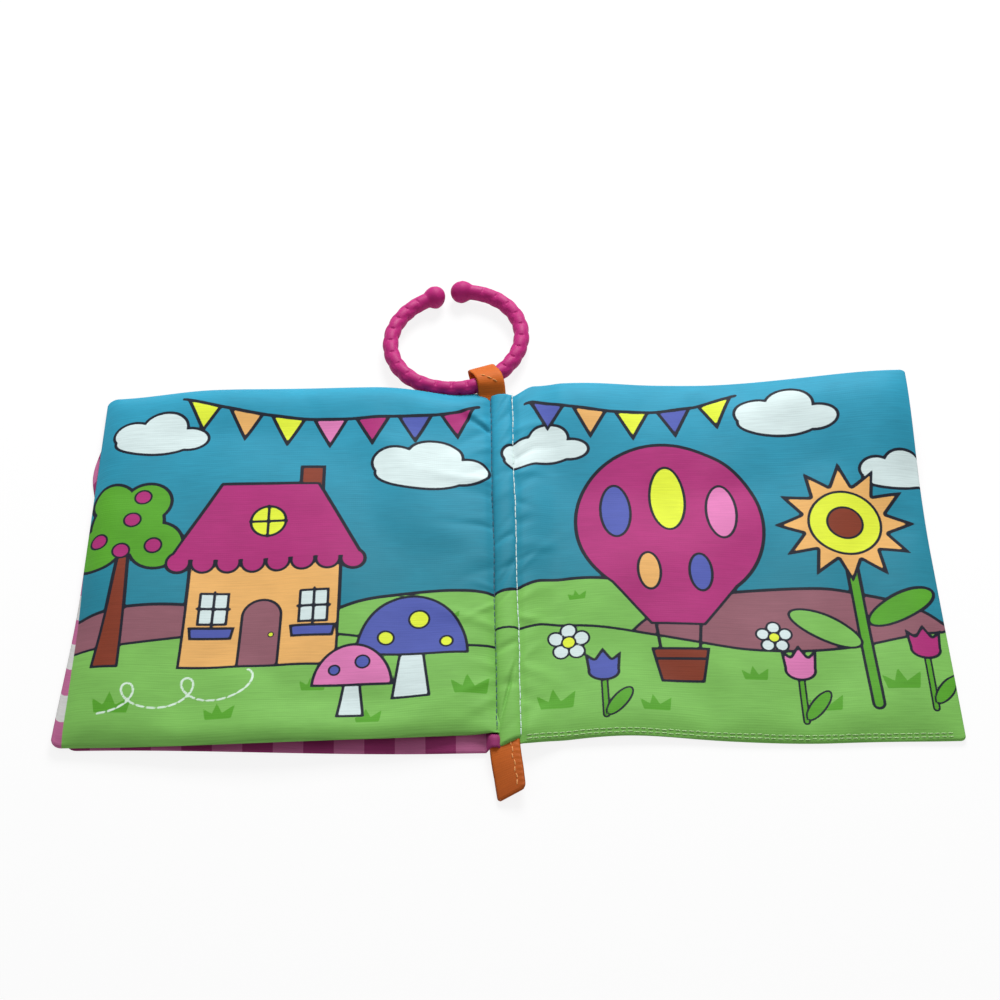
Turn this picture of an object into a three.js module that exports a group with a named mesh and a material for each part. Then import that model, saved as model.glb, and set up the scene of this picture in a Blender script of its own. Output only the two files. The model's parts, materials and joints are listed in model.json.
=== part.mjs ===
// A soft cloth baby book, lying open at its last spread, with a clip-on ring.
// Millimetres, +Z up, +X along the open spread, +Y from the reader's edge to the far edge.
// The origin is on the underside of the spine, at its middle.
// Three padded leaves meet at the spine: the front cover and the middle leaf lie stacked on the left,
// and the back cover lies on the right. Each leaf is two cloth panels over wadding and a crinkle film.
import * as THREE from "three";

// Leaves
const LEAF_WIDTH = 155;
const LEAF_HEIGHT = 159;
const LEAF_THICKNESS = 3.2;
const LEAF_EDGE_THICKNESS = 1.3;
const CROWN_POWER = 4;
const CLOTH_THICKNESS = 0.5;
const FILM_THICKNESS = 0.2;
const WADDING_EDGE = 0.4;
const SEAM_MARGIN = 6;
const LAYER_GAP = 0.3;
const LEAF_CELLS = 9;

// How the sewing draws the leaves in, and the curl of the back cover's far corner
const FORE_EDGE_DRAW_IN = 1.2;
const LONG_EDGE_DRAW_IN = 0.8;
const SPINE_DRAW_IN = 4;
const SPINE_DRAW_REACH = 40;
const CORNER_LIFT = 9;
const CORNER_LIFT_START = 0.55;
const SEAM_RAMP = 14;

// Spine
const SPINE_WIDTH = 8.4;
const SPINE_MARGIN = 7;
const SPINE_PAD_HEIGHT = 1.1;
const SPINE_PAD_INSET = 1;
const SPINE_CELLS = 12;
const HINGE_GAP = 0.3;

// Ribbon loop and pull tab
const RIBBON_WIDTH = 10.8;
const RIBBON_THICKNESS = 0.5;
const TAIL_LENGTH = 12;
const TAIL_REACH = 0.6;
const LOOP_OFFSET = -3.2;
const LOOP_TURN = THREE.MathUtils.degToRad(15);
const LOOP_ROOT = 1.2;
const LOOP_CLEARANCE = 0.5;
const TAB_OFFSET = -1;
const TAB_TURN = THREE.MathUtils.degToRad(6);
const TAB_LENGTH = 20;
const TAB_TIP_HEIGHT = 0.9;

// Ring
const RING_RADIUS = 25.8;
const RING_TUBE = 6;
const RING_BALL = 9;
const RING_MOUTH = 2.4;
const RING_MOUTH_ANGLE = THREE.MathUtils.degToRad(98.5);
const RING_LOOP_ANGLE = THREE.MathUtils.degToRad(-61);
const RING_RIB_HEIGHT = 0.25;
const RING_RIBS = 30;
const RING_SIDES = 10;

// Sewing thread
const THREAD = 0.5;
const THREAD_SIDES = 5;
const STITCH_INSET = 0.8;
const HEM_INSET = 3;
const HEM_STEPS = 36;

// Places that follow from the sizes above
const LEAF_SEAM_THICKNESS = 2 * CLOTH_THICKNESS + FILM_THICKNESS + WADDING_EDGE + 3 * LAYER_GAP;
const LEAF_HINGE = SPINE_WIDTH / 2 + HINGE_GAP;
const SPINE_HALF_LENGTH = LEAF_HEIGHT / 2 - SPINE_DRAW_IN;
const LEAF_LEVEL = LEAF_EDGE_THICKNESS + LAYER_GAP;
const SPINE_PAD_LEVEL = LEAF_LEVEL + LEAF_EDGE_THICKNESS + LAYER_GAP;
const SPINE_COVER_LEVEL = SPINE_PAD_LEVEL + SPINE_PAD_HEIGHT + LAYER_GAP;
const SPINE_TOP = SPINE_COVER_LEVEL + CLOTH_THICKNESS;
const RIBBON_LEVEL = SPINE_PAD_LEVEL + SPINE_PAD_HEIGHT / 2;
const RIBBON_PLY = (SPINE_PAD_HEIGHT - LAYER_GAP) / 2;
const TAIL_END = SPINE_HALF_LENGTH + TAIL_REACH;
const RING_LEVEL = RING_BALL / 2;
const LOOP_HOLE = RING_TUBE / 2 + RING_RIB_HEIGHT + LOOP_CLEARANCE;
const LOOP_OUTSIDE = LOOP_HOLE + RIBBON_THICKNESS;

// The ring crosses the loop at a slant and on a curve, so the loop's hole is longer than it is high.
const LOOP_SLANT = RING_LOOP_ANGLE + Math.PI / 2 - LOOP_TURN;
const LOOP_SLACK = (RIBBON_WIDTH / 2) * Math.tan(LOOP_SLANT) + RIBBON_WIDTH ** 2 / (8 * RING_RADIUS);
const LOOP_NEAR = LOOP_ROOT + LOOP_HOLE;
const LOOP_REACH = LOOP_NEAR + LOOP_SLACK;
const LOOP_FAR = LOOP_REACH + LOOP_SLACK;

// The ribbons turn on round roots, set off from the tails by their slant across the spine.
const RIBBON_ROOT = SPINE_PAD_HEIGHT / 2;
const LOOP_PIVOT = TAIL_END + HINGE_GAP + RIBBON_ROOT + (SPINE_WIDTH / 2 + LOOP_OFFSET) * Math.tan(LOOP_TURN);
const TAB_PIVOT = TAIL_END + HINGE_GAP + RIBBON_ROOT + (SPINE_WIDTH / 2 - TAB_OFFSET) * Math.tan(TAB_TURN);

const printedCloth = cloth(0x3a9fc0);
const ginghamCloth = cloth(0xd06a9c);
const waddingWhite = new THREE.MeshStandardMaterial({ color: 0xf2f0ea, roughness: 0.95, metalness: 0 });
const clearFilm = new THREE.MeshStandardMaterial({ color: 0xe6ebee, roughness: 0.2, metalness: 0 });
const orangeRibbon = cloth(0xde7828);
const magentaPlastic = new THREE.MeshStandardMaterial({ color: 0xbe1e73, roughness: 0.35, metalness: 0 });
const whiteThread = cloth(0xe8eef0);
const blueThread = cloth(0x1f6f8c);
const greenThread = cloth(0xb4dc96);
const orangeThread = cloth(0xf0a860);

function cloth(color) {
  return new THREE.MeshStandardMaterial({ color, roughness: 0.8, metalness: 0 });
}

// Evenly spaced values from one end to the other.
function span(from, to, cells) {
  return Array.from({ length: cells + 1 }, (_, i) => from + ((to - from) * i) / cells);
}

// A closed sheet over a grid of (s, t): place(s, t) gives x and y, lower and upper give its two faces.
// Both faces share one pattern of diagonals, so sheets on the same grid stay parallel.
function sheetSolid(columns, rows, place, lower, upper) {
  const points = [];
  const faces = [];
  const across = columns.length;
  const along = rows.length;
  for (const height of [upper, lower]) {
    for (const t of rows) {
      for (const s of columns) {
        const [x, y] = place(s, t);
        points.push(x, y, height(s, t));
      }
    }
  }
  const top = (i, j) => j * across + i;
  const bottom = (i, j) => across * along + top(i, j);
  for (let j = 0; j < along - 1; j++) {
    for (let i = 0; i < across - 1; i++) {
      faces.push(top(i, j), top(i + 1, j), top(i + 1, j + 1));
      faces.push(top(i, j), top(i + 1, j + 1), top(i, j + 1));
      faces.push(bottom(i, j), bottom(i + 1, j + 1), bottom(i + 1, j));
      faces.push(bottom(i, j), bottom(i, j + 1), bottom(i + 1, j + 1));
    }
  }
  const wall = (a, b) => {
    faces.push(top(...a), bottom(...a), bottom(...b));
    faces.push(top(...a), bottom(...b), top(...b));
  };
  for (let i = 0; i < across - 1; i++) {
    wall([i, 0], [i + 1, 0]);
    wall([i + 1, along - 1], [i, along - 1]);
  }
  for (let j = 0; j < along - 1; j++) {
    wall([across - 1, j], [across - 1, j + 1]);
    wall([0, j + 1], [0, j]);
  }
  const geometry = new THREE.BufferGeometry();
  geometry.setAttribute("position", new THREE.Float32BufferAttribute(points, 3));
  geometry.setIndex(faces);
  return geometry;
}

// The same sheet on the left of the spine: mirrored in x, with its faces turned to point out again.
function mirrored(geometry) {
  geometry.scale(-1, 1, 1);
  const index = geometry.getIndex();
  for (let i = 0; i < index.count; i += 3) {
    const second = index.getX(i + 1);
    index.setX(i + 1, index.getX(i + 2));
    index.setX(i + 2, second);
  }
  return geometry;
}

// A thread of few sides along a list of points.
function threadAlong(points) {
  const section = new THREE.Shape(
    span(0, 2 * Math.PI, THREAD_SIDES)
      .slice(0, THREAD_SIDES)
      .map((a) => new THREE.Vector2((Math.cos(a) * THREAD) / 2, (Math.sin(a) * THREAD) / 2)),
  );
  const path = new THREE.CatmullRomCurve3(points);
  return new THREE.ExtrudeGeometry(section, { steps: points.length - 1, extrudePath: path });
}

function part(name, geometry, material) {
  const mesh = new THREE.Mesh(geometry, material);
  mesh.name = name;
  return mesh;
}

// Leaf form: s runs from the spine (0) to the fore edge (1), and t from the near edge (-1) to the far edge (1).
// The outline is drawn in at the spine and between the corners.
function leafPlace(s, t) {
  const reach = LEAF_WIDTH * s;
  const spineDraw = SPINE_DRAW_IN * (1 - THREE.MathUtils.smoothstep(reach, 0, SPINE_DRAW_REACH));
  const middle = THREE.MathUtils.clamp(4 * s * (1 - s), 0, 1);
  const half = LEAF_HEIGHT / 2 - spineDraw - LONG_EDGE_DRAW_IN * middle;
  const foreDraw = FORE_EDGE_DRAW_IN * Math.max(s, 0) ** 8 * (1 - t * t);
  return [LEAF_HINGE + reach - foreDraw, half * t];
}

// Thickness of a leaf: it rises from the sewn edge to the seam, and from there to a gentle crown.
function leafThickness(s, t) {
  const reach = LEAF_WIDTH * s;
  const rowReach = (LEAF_HEIGHT / 2) * Math.abs(t);
  const depth = Math.min(reach, LEAF_WIDTH - reach, LEAF_HEIGHT / 2 - rowReach);
  const rise = THREE.MathUtils.clamp(depth / SEAM_MARGIN, 0, 1);
  const across = Math.min(1, Math.abs(2 * reach - LEAF_WIDTH) / (LEAF_WIDTH - 2 * SEAM_MARGIN));
  const along = Math.min(1, rowReach / (LEAF_HEIGHT / 2 - SEAM_MARGIN));
  const crown = (1 - across ** CROWN_POWER) * (1 - along ** CROWN_POWER);
  return (
    LEAF_EDGE_THICKNESS +
    (LEAF_SEAM_THICKNESS - LEAF_EDGE_THICKNESS) * rise +
    (LEAF_THICKNESS - LEAF_SEAM_THICKNESS) * crown
  );
}

// Undersides: the front cover lies on the table, and the middle leaf on the front cover.
// The back cover comes down from the spine's upper seam to the table, and its far corner curls up.
const frontCoverUnder = () => 0;
const middleLeafUnder = (s, t) => leafThickness(s, t) + LAYER_GAP;
function backCoverUnder(s, t) {
  const seam = SPINE_TOP - LEAF_EDGE_THICKNESS - LAYER_GAP;
  const ramp = 1 - THREE.MathUtils.smoothstep(LEAF_WIDTH * s, 0, SEAM_RAMP);
  const outward = THREE.MathUtils.smoothstep(s, CORNER_LIFT_START, 1);
  const farward = THREE.MathUtils.smoothstep(t, 0, 1);
  return seam * ramp + CORNER_LIFT * outward * farward;
}

// The grid of a leaf: the panels reach its edges, and the film and wadding stop at the seam.
function leafGrid() {
  const seamShare = SEAM_MARGIN / LEAF_WIDTH;
  const seamRow = 1 - (2 * SEAM_MARGIN) / LEAF_HEIGHT;
  const padColumns = span(seamShare, 1 - seamShare, LEAF_CELLS);
  const padRows = span(-seamRow, seamRow, LEAF_CELLS);
  return { padColumns, padRows, columns: [0, ...padColumns, 1], rows: [-1, ...padRows, 1] };
}

// The four layers of one leaf, from the underside up. A leaf that is sewn into the spine has a margin
// past its hinge line.
function leafLayers(name, underName, overName, under, side, spineMargin, underCloth, overCloth) {
  const { padColumns, padRows, columns, rows } = leafGrid();
  const panelColumns = spineMargin > 0 ? [-spineMargin / LEAF_WIDTH, ...columns] : columns;
  const over = (s, t) => under(s, t) + leafThickness(s, t);
  const filmUnder = (s, t) => under(s, t) + CLOTH_THICKNESS + LAYER_GAP;
  const waddingUnder = (s, t) => filmUnder(s, t) + FILM_THICKNESS + LAYER_GAP;
  const turned = (geometry) => (side < 0 ? mirrored(geometry) : geometry);
  const panel = (lower, upper) => turned(sheetSolid(panelColumns, rows, leafPlace, lower, upper));
  const pad = (lower, upper) => turned(sheetSolid(padColumns, padRows, leafPlace, lower, upper));
  return [
    part(`${name}_${underName}`, panel(under, (s, t) => under(s, t) + CLOTH_THICKNESS), underCloth),
    part(`${name}_crinkle_film`, pad(filmUnder, (s, t) => filmUnder(s, t) + FILM_THICKNESS), clearFilm),
    part(
      `${name}_wadding`,
      pad(waddingUnder, (s, t) => over(s, t) - CLOTH_THICKNESS - LAYER_GAP),
      waddingWhite,
    ),
    part(`${name}_${overName}`, panel((s, t) => over(s, t) - CLOTH_THICKNESS, over), overCloth),
  ];
}

// A height read off the flat cells of a grid, by its share of the way across the cell.
function onCells(columns, rows, height, s, t) {
  const cell = (values, v) => Math.max(0, values.findIndex((edge) => edge >= v) - 1);
  const i = cell(columns, s);
  const j = cell(rows, t);
  const a = (s - columns[i]) / (columns[i + 1] - columns[i]);
  const b = (t - rows[j]) / (rows[j + 1] - rows[j]);
  const along = (row) => {
    const start = height(columns[i], row);
    return start + (height(columns[i + 1], row) - start) * a;
  };
  return along(rows[j]) * (1 - b) + along(rows[j + 1]) * b;
}

function frontCover() {
  return leafLayers(
    "front_cover", "outer_panel", "inner_panel", frontCoverUnder, -1, 0, ginghamCloth, ginghamCloth,
  );
}

function middleLeaf() {
  return leafLayers(
    "middle_leaf", "lower_panel", "upper_panel", middleLeafUnder, -1, SPINE_MARGIN, ginghamCloth, printedCloth,
  );
}

// The back cover also has the stitched hem that shows along its near edge.
function backCover() {
  const layers = leafLayers(
    "back_cover", "outer_panel", "inner_panel", backCoverUnder, 1, 0, ginghamCloth, printedCloth,
  );
  const { columns, rows } = leafGrid();
  const over = (s, t) => backCoverUnder(s, t) + leafThickness(s, t);
  const hemRow = -1 + (2 * HEM_INSET) / LEAF_HEIGHT;
  const hemEnd = HEM_INSET / LEAF_WIDTH;
  const hem = span(hemEnd, 1 - hemEnd, HEM_STEPS).map((s) => {
    const [x, y] = leafPlace(s, hemRow);
    const top = onCells(columns, rows, over, s, hemRow);
    return new THREE.Vector3(x, y, top + LAYER_GAP + THREAD / 2);
  });
  return [...layers, part("back_cover_hem_stitching", threadAlong(hem), greenThread)];
}

// A flat strip along the spine.
function spineStrip(width, halfLength, lower, upper) {
  const place = (s, t) => [(width / 2) * s, halfLength * t];
  const ends = [-1, 1];
  return sheetSolid(ends, span(-1, 1, SPINE_CELLS), place, () => lower, () => upper);
}

function stitchRow(x) {
  const end = SPINE_HALF_LENGTH - STITCH_INSET;
  const level = SPINE_TOP + LAYER_GAP + THREAD / 2;
  return threadAlong(span(-end, end, 2 * SPINE_CELLS).map((y) => new THREE.Vector3(x, y, level)));
}

// Spine: an outer strip under everything, the middle leaf's margin, a pad, and the printed inner strip.
function spine() {
  const padLength = SPINE_HALF_LENGTH - TAIL_LENGTH - LAYER_GAP;
  const padWidth = SPINE_WIDTH - 2 * SPINE_PAD_INSET;
  const stitchX = SPINE_WIDTH / 2 - STITCH_INSET;
  return [
    part("spine_outer_strip", spineStrip(SPINE_WIDTH, SPINE_HALF_LENGTH, 0, CLOTH_THICKNESS), ginghamCloth),
    part(
      "spine_wadding",
      spineStrip(padWidth, padLength, SPINE_PAD_LEVEL, SPINE_PAD_LEVEL + SPINE_PAD_HEIGHT),
      waddingWhite,
    ),
    part(
      "spine_inner_strip",
      spineStrip(SPINE_WIDTH, SPINE_HALF_LENGTH, SPINE_COVER_LEVEL, SPINE_TOP),
      printedCloth,
    ),
    part("spine_white_stitching", stitchRow(stitchX), whiteThread),
    part("crease_stitching", stitchRow(-stitchX), blueThread),
  ];
}

// The two sewn-in ends of a ribbon, folded over each other between the pad and the inner strip.
// end is 1 at the far end of the spine and -1 at the near end.
function ribbonTail(name, end) {
  const profile = new THREE.Shape();
  const inner = TAIL_END - TAIL_REACH - TAIL_LENGTH;
  profile.moveTo(inner, -SPINE_PAD_HEIGHT / 2);
  profile.lineTo(TAIL_END, -SPINE_PAD_HEIGHT / 2);
  profile.lineTo(TAIL_END, SPINE_PAD_HEIGHT / 2);
  profile.lineTo(inner, SPINE_PAD_HEIGHT / 2);
  profile.lineTo(inner, SPINE_PAD_HEIGHT / 2 - RIBBON_PLY);
  profile.lineTo(TAIL_END - RIBBON_PLY, SPINE_PAD_HEIGHT / 2 - RIBBON_PLY);
  profile.lineTo(TAIL_END - RIBBON_PLY, RIBBON_PLY - SPINE_PAD_HEIGHT / 2);
  profile.lineTo(inner, RIBBON_PLY - SPINE_PAD_HEIGHT / 2);
  const tail = part(name, acrossRibbon(profile, SPINE_WIDTH), orangeRibbon);
  tail.position.set(0, 0, RIBBON_LEVEL);
  tail.rotation.z = end > 0 ? 0 : Math.PI;
  return tail;
}

// A profile in (y, z) drawn out along x to a ribbon's width, centred.
function acrossRibbon(profile, width) {
  const geometry = new THREE.ExtrudeGeometry(profile, { depth: width, bevelEnabled: false, curveSegments: 10 });
  geometry.translate(0, 0, -width / 2);
  geometry.rotateX(Math.PI / 2);
  geometry.rotateZ(Math.PI / 2);
  return geometry;
}

// The ribbon loop that carries the ring: two plies that part and close round the ring's tube.
function ringLoop() {
  const rise = RING_LEVEL - RIBBON_LEVEL;
  const run = Math.hypot(LOOP_NEAR, rise);
  const lean = Math.atan2(rise, LOOP_NEAR);
  const touch = Math.PI - Math.acos((LOOP_OUTSIDE - RIBBON_ROOT) / run);
  const quarter = Math.PI / 2;
  const profile = new THREE.Shape();
  profile.absarc(0, 0, RIBBON_ROOT, quarter, 3 * quarter, false);
  profile.absarc(LOOP_NEAR, rise, LOOP_OUTSIDE, lean - touch, -quarter, false);
  profile.absarc(LOOP_FAR, rise, LOOP_OUTSIDE, -quarter, quarter, false);
  profile.absarc(LOOP_NEAR, rise, LOOP_OUTSIDE, quarter, lean + touch, false);
  const hole = new THREE.Path();
  hole.absarc(LOOP_FAR, rise, LOOP_HOLE, -quarter, quarter, false);
  hole.absarc(LOOP_NEAR, rise, LOOP_HOLE, quarter, 3 * quarter, false);
  profile.holes.push(hole);
  const loop = part("ring_loop", acrossRibbon(profile, RIBBON_WIDTH), orangeRibbon);
  loop.position.set(LOOP_OFFSET, LOOP_PIVOT, RIBBON_LEVEL);
  loop.rotation.z = LOOP_TURN;
  return loop;
}

// The pull tab at the near end: one ribbon folded back on itself, lying down to the table.
function pullTab() {
  const slope = Math.asin((RIBBON_LEVEL - TAB_TIP_HEIGHT) / TAB_LENGTH);
  const quarter = Math.PI / 2;
  const fold = TAB_LENGTH - RIBBON_ROOT;
  const profile = new THREE.Shape();
  profile.absarc(0, 0, RIBBON_ROOT, quarter, 3 * quarter, false);
  profile.absarc(fold, 0, RIBBON_ROOT, -quarter, quarter, false);
  const slit = new THREE.Path();
  slit.moveTo(RIBBON_ROOT, -LAYER_GAP / 2);
  slit.lineTo(fold, -LAYER_GAP / 2);
  slit.lineTo(fold, LAYER_GAP / 2);
  slit.lineTo(RIBBON_ROOT, LAYER_GAP / 2);
  profile.holes.push(slit);
  const tab = new THREE.Group();
  tab.add(part("pull_tab", acrossRibbon(profile, RIBBON_WIDTH), orangeRibbon));
  const edge = RIBBON_WIDTH / 2 - STITCH_INSET;
  const level = RIBBON_ROOT + LAYER_GAP + THREAD / 2;
  const stitches = span(STITCH_INSET, TAB_LENGTH - STITCH_INSET, SPINE_CELLS);
  const row = stitches.map((y) => new THREE.Vector3(-edge, y, level));
  tab.add(part("pull_tab_stitching", threadAlong(row), orangeThread));
  tab.position.set(TAB_OFFSET, -TAB_PIVOT, RIBBON_LEVEL);
  tab.rotation.order = "ZXY";
  tab.rotation.z = Math.PI + TAB_TURN;
  tab.rotation.x = -slope;
  return tab;
}

// The ring: a ribbed rod with a ball on each end, turned on a lathe and bent into an open circle.
function toyLinkRing() {
  const ball = RING_BALL / 2;
  const tube = RING_TUBE / 2;
  const mouth = 2 * Math.asin((RING_BALL + RING_MOUTH) / 2 / RING_RADIUS);
  const rod = (2 * Math.PI - mouth) * RING_RADIUS;
  const neck = Math.acos(tube / ball);
  const neckEnd = ball * Math.sin(neck);
  const profile = [new THREE.Vector2(0, -ball)];
  for (const a of span(-Math.PI / 2, neck, 6).slice(1)) {
    profile.push(new THREE.Vector2(ball * Math.cos(a), ball * Math.sin(a)));
  }
  const steps = span(neckEnd, rod - neckEnd, 2 * RING_RIBS).slice(1, -1);
  steps.forEach((along, i) => profile.push(new THREE.Vector2(tube + (i % 2) * RING_RIB_HEIGHT, along)));
  for (const a of span(-neck, Math.PI / 2, 6).slice(0, -1)) {
    profile.push(new THREE.Vector2(ball * Math.cos(a), rod + ball * Math.sin(a)));
  }
  profile.push(new THREE.Vector2(0, rod + ball));
  const geometry = new THREE.LatheGeometry(profile, RING_SIDES);
  geometry.deleteAttribute("normal");
  geometry.deleteAttribute("uv");
  const position = geometry.getAttribute("position");
  for (let i = 0; i < position.count; i++) {
    const angle = RING_MOUTH_ANGLE + mouth / 2 + position.getY(i) / RING_RADIUS;
    const radius = RING_RADIUS + position.getX(i);
    position.setXYZ(i, radius * Math.cos(angle), radius * Math.sin(angle), position.getZ(i));
  }
  const ring = part("toy_link_ring", geometry, magentaPlastic);
  const tubeAtLoop = new THREE.Vector2(0, LOOP_REACH).rotateAround(new THREE.Vector2(), LOOP_TURN);
  ring.position.set(
    LOOP_OFFSET + tubeAtLoop.x - RING_RADIUS * Math.cos(RING_LOOP_ANGLE),
    LOOP_PIVOT + tubeAtLoop.y - RING_RADIUS * Math.sin(RING_LOOP_ANGLE),
    RING_LEVEL,
  );
  return ring;
}

const book = new THREE.Group();
book.add(...frontCover());
book.add(...middleLeaf());
book.add(...backCover());
book.add(...spine());
book.add(ribbonTail("ring_loop_tail", 1));
book.add(ribbonTail("pull_tab_tail", -1));
book.add(ringLoop());
book.add(pullTab());
book.add(toyLinkRing());

export default book;
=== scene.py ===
"""Looks of a soft cloth baby book that lies open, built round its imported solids.

Lengths inside the functions are millimetres, and MM turns them into metres when a mesh is made.
On each leaf, reach runs from the spine to the fore edge and cross from the near edge to the far edge.
"""

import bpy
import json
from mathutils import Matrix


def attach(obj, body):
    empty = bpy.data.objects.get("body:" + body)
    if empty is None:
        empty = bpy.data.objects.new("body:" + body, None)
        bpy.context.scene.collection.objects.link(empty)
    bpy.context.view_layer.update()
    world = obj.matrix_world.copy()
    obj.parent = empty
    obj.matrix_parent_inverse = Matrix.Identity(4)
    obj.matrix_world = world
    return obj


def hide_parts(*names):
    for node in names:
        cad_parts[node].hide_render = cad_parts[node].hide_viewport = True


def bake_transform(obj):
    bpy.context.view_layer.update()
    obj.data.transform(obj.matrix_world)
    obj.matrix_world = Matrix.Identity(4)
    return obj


bl_info = {
    "name": "Soft cloth baby book",
    "version": (1, 0, 0),
    "blender": (4, 5, 0),
    "location": "View3D > Sidebar > Cloth book",
    "description": "Builds the padded leaves, spine, ribbons, ring and stitching of a cloth baby book",
    "category": "Object",
}

import json
import math

import bmesh
import bpy
import numpy as np
from bpy.props import FloatProperty, FloatVectorProperty, PointerProperty
from bpy.types import Operator, Panel, PropertyGroup

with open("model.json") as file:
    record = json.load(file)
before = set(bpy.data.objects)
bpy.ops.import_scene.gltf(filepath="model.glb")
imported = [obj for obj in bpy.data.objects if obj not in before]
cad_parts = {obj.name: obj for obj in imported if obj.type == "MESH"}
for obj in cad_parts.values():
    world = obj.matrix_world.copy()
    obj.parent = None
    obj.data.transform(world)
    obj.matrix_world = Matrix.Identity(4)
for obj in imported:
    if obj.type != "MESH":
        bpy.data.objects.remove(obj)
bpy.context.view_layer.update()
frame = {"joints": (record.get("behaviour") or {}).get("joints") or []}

MM = 0.001

# Leaves and spine as the solids have them, and how far a leaf runs in under the spine strip
LEAF_WIDTH = 155.0
LEAF_HALF = 79.5
SPINE_HALF = 4.2
STRIP_HALF = SPINE_HALF + 0.5
STRIP_LENGTH = 156
TONGUE = 3.0

# Thickness and rounding of a sewn edge, and the air between two stacked leaves
EDGE_THICKNESS = 1.3
EDGE_ROUND = 0.75
STACK_GAP = 0.35

# Rounding of the spine strip's edge, and how high that edge lies
STRIP_ROUND = 1.3
STRIP_EDGE_LEVEL = 2.4

# Grid pitch of a printed leaf, whose points carry the inks, of a plain one, and of the strip both ways
PRINT_PITCH = 0.64
PLAIN_PITCH = 1.0
STRIP_PITCH = 0.5, 0.7

# Cloth solver: least and most spare cloth as a share, hold of the wadding, scale, grid, steps, furthest move
FULLNESS = 0.002, 0.03
HELD_BY_WADDING = 0.1
SOLVER_SCALE = 10
SOLVER_GRID = 80
SOLVER_STEPS = 30
FURTHEST_MOVE = 1.5

# How far out a ribbon's lie is given: its bend, and its shear and roll. How much of each end is sewn in
BEND_OUT = 12
ROLL_OUT = 20
SEWN_IN = 8

# Ring: the space between its balls, and the rows of pads round its rod and pads in a row
RING_MOUTH = 2.4
PAD_ROWS = 4
PADS_IN_ROW = 25

# Sockets of a colour mix, the wave texture's repeat at scale 1 in metres, and where most of a noise lies
SHARE, BELOW, ABOVE, MIXED = 0, 6, 7, 2
WAVE_REPEAT = math.tau / 20
NOISE_SPAN = {"From Min": 0.3, "From Max": 0.7}

# Stage: floor in millimetres, soft light all round, softboxes by name, place, watts and side in metres
WHITE = 1, 1, 1, 1
FLOOR_HALF = 2500.0
FLOOR_LEVEL = -0.3
STUDIO_LIGHT = 0.33
LAMPS = (
    ("key softbox", (0.1, 0.62, 0.52), 7.6, 0.35),
    ("fill softbox", (-0.7, 0.3, 0.8), 1.0, 0.9),
)

# Camera fitted to the photograph: place in metres, angles in degrees, lens and sensor in millimetres
CAMERA_PLACE = -0.0094, -0.4031, 0.5944
CAMERA_TILT = 36.0
CAMERA_TURN = -1.05
CAMERA_LENS = 68.9
CAMERA_SENSOR = 36

# A distance that is far outside any ink, and the inks in the order in which they are laid
NO_INK = 50.0
INKS = (
    "outline",
    "cloud",
    "mauve",
    "grass",
    "tuft",
    "brown",
    "peach",
    "magenta",
    "pink",
    "indigo",
    "yellow",
    "thread",
)


def linear(code):
    """An sRGB hex colour as linear red, green and blue."""
    value = np.array([int(code[i : i + 2], 16) for i in (1, 3, 5)]) / 255
    return tuple(np.where(value <= 0.04045, value / 12.92, ((value + 0.055) / 1.055) ** 2.4).tolist())


def length(name, description, default):
    """A length setting in metres."""
    return FloatProperty(name=name, description=description, default=default, unit="LENGTH", precision=5)


def colour(name, description, code):
    """A colour setting."""
    return FloatVectorProperty(
        name=name, description=description, default=linear(code), subtype="COLOR", size=3, min=0, max=1
    )


class ClothBookSizes(PropertyGroup):
    """Sizes a user would change."""

    fullness: length("Leaf thickness", "Thickness of a padded leaf at its middle", 0.0032)
    corner_lift: length("Corner lift", "How far the back cover's far corner curls up", 0.009)
    pucker: length("Pucker height", "Height of the puckers that the spine seam draws in the cloth", 0.0006)
    ripple: length("Ripple height", "Height of the soft ripples over a leaf", 0.0005)
    ribbon_width: length("Ribbon width", "Width of the loop and the pull tab", 0.0108)
    ribbon_thickness: length("Ribbon thickness", "Thickness of one ply of ribbon", 0.0006)
    ring_radius: length("Ring radius", "Radius of the ring's centre line", 0.0258)
    ring_tube: length("Ring rod", "Diameter of the ring's rod", 0.0064)
    ring_ball: length("Ring ball", "Diameter of the balls at the ring's mouth", 0.0090)
    stitch: length("Stitch length", "Length of one stitch along the spine", 0.0029)
    thread: length("Thread thickness", "Thickness of the sewing thread", 0.00048)
    check: length("Check size", "Width of one stripe of the gingham", 0.01092)


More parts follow.
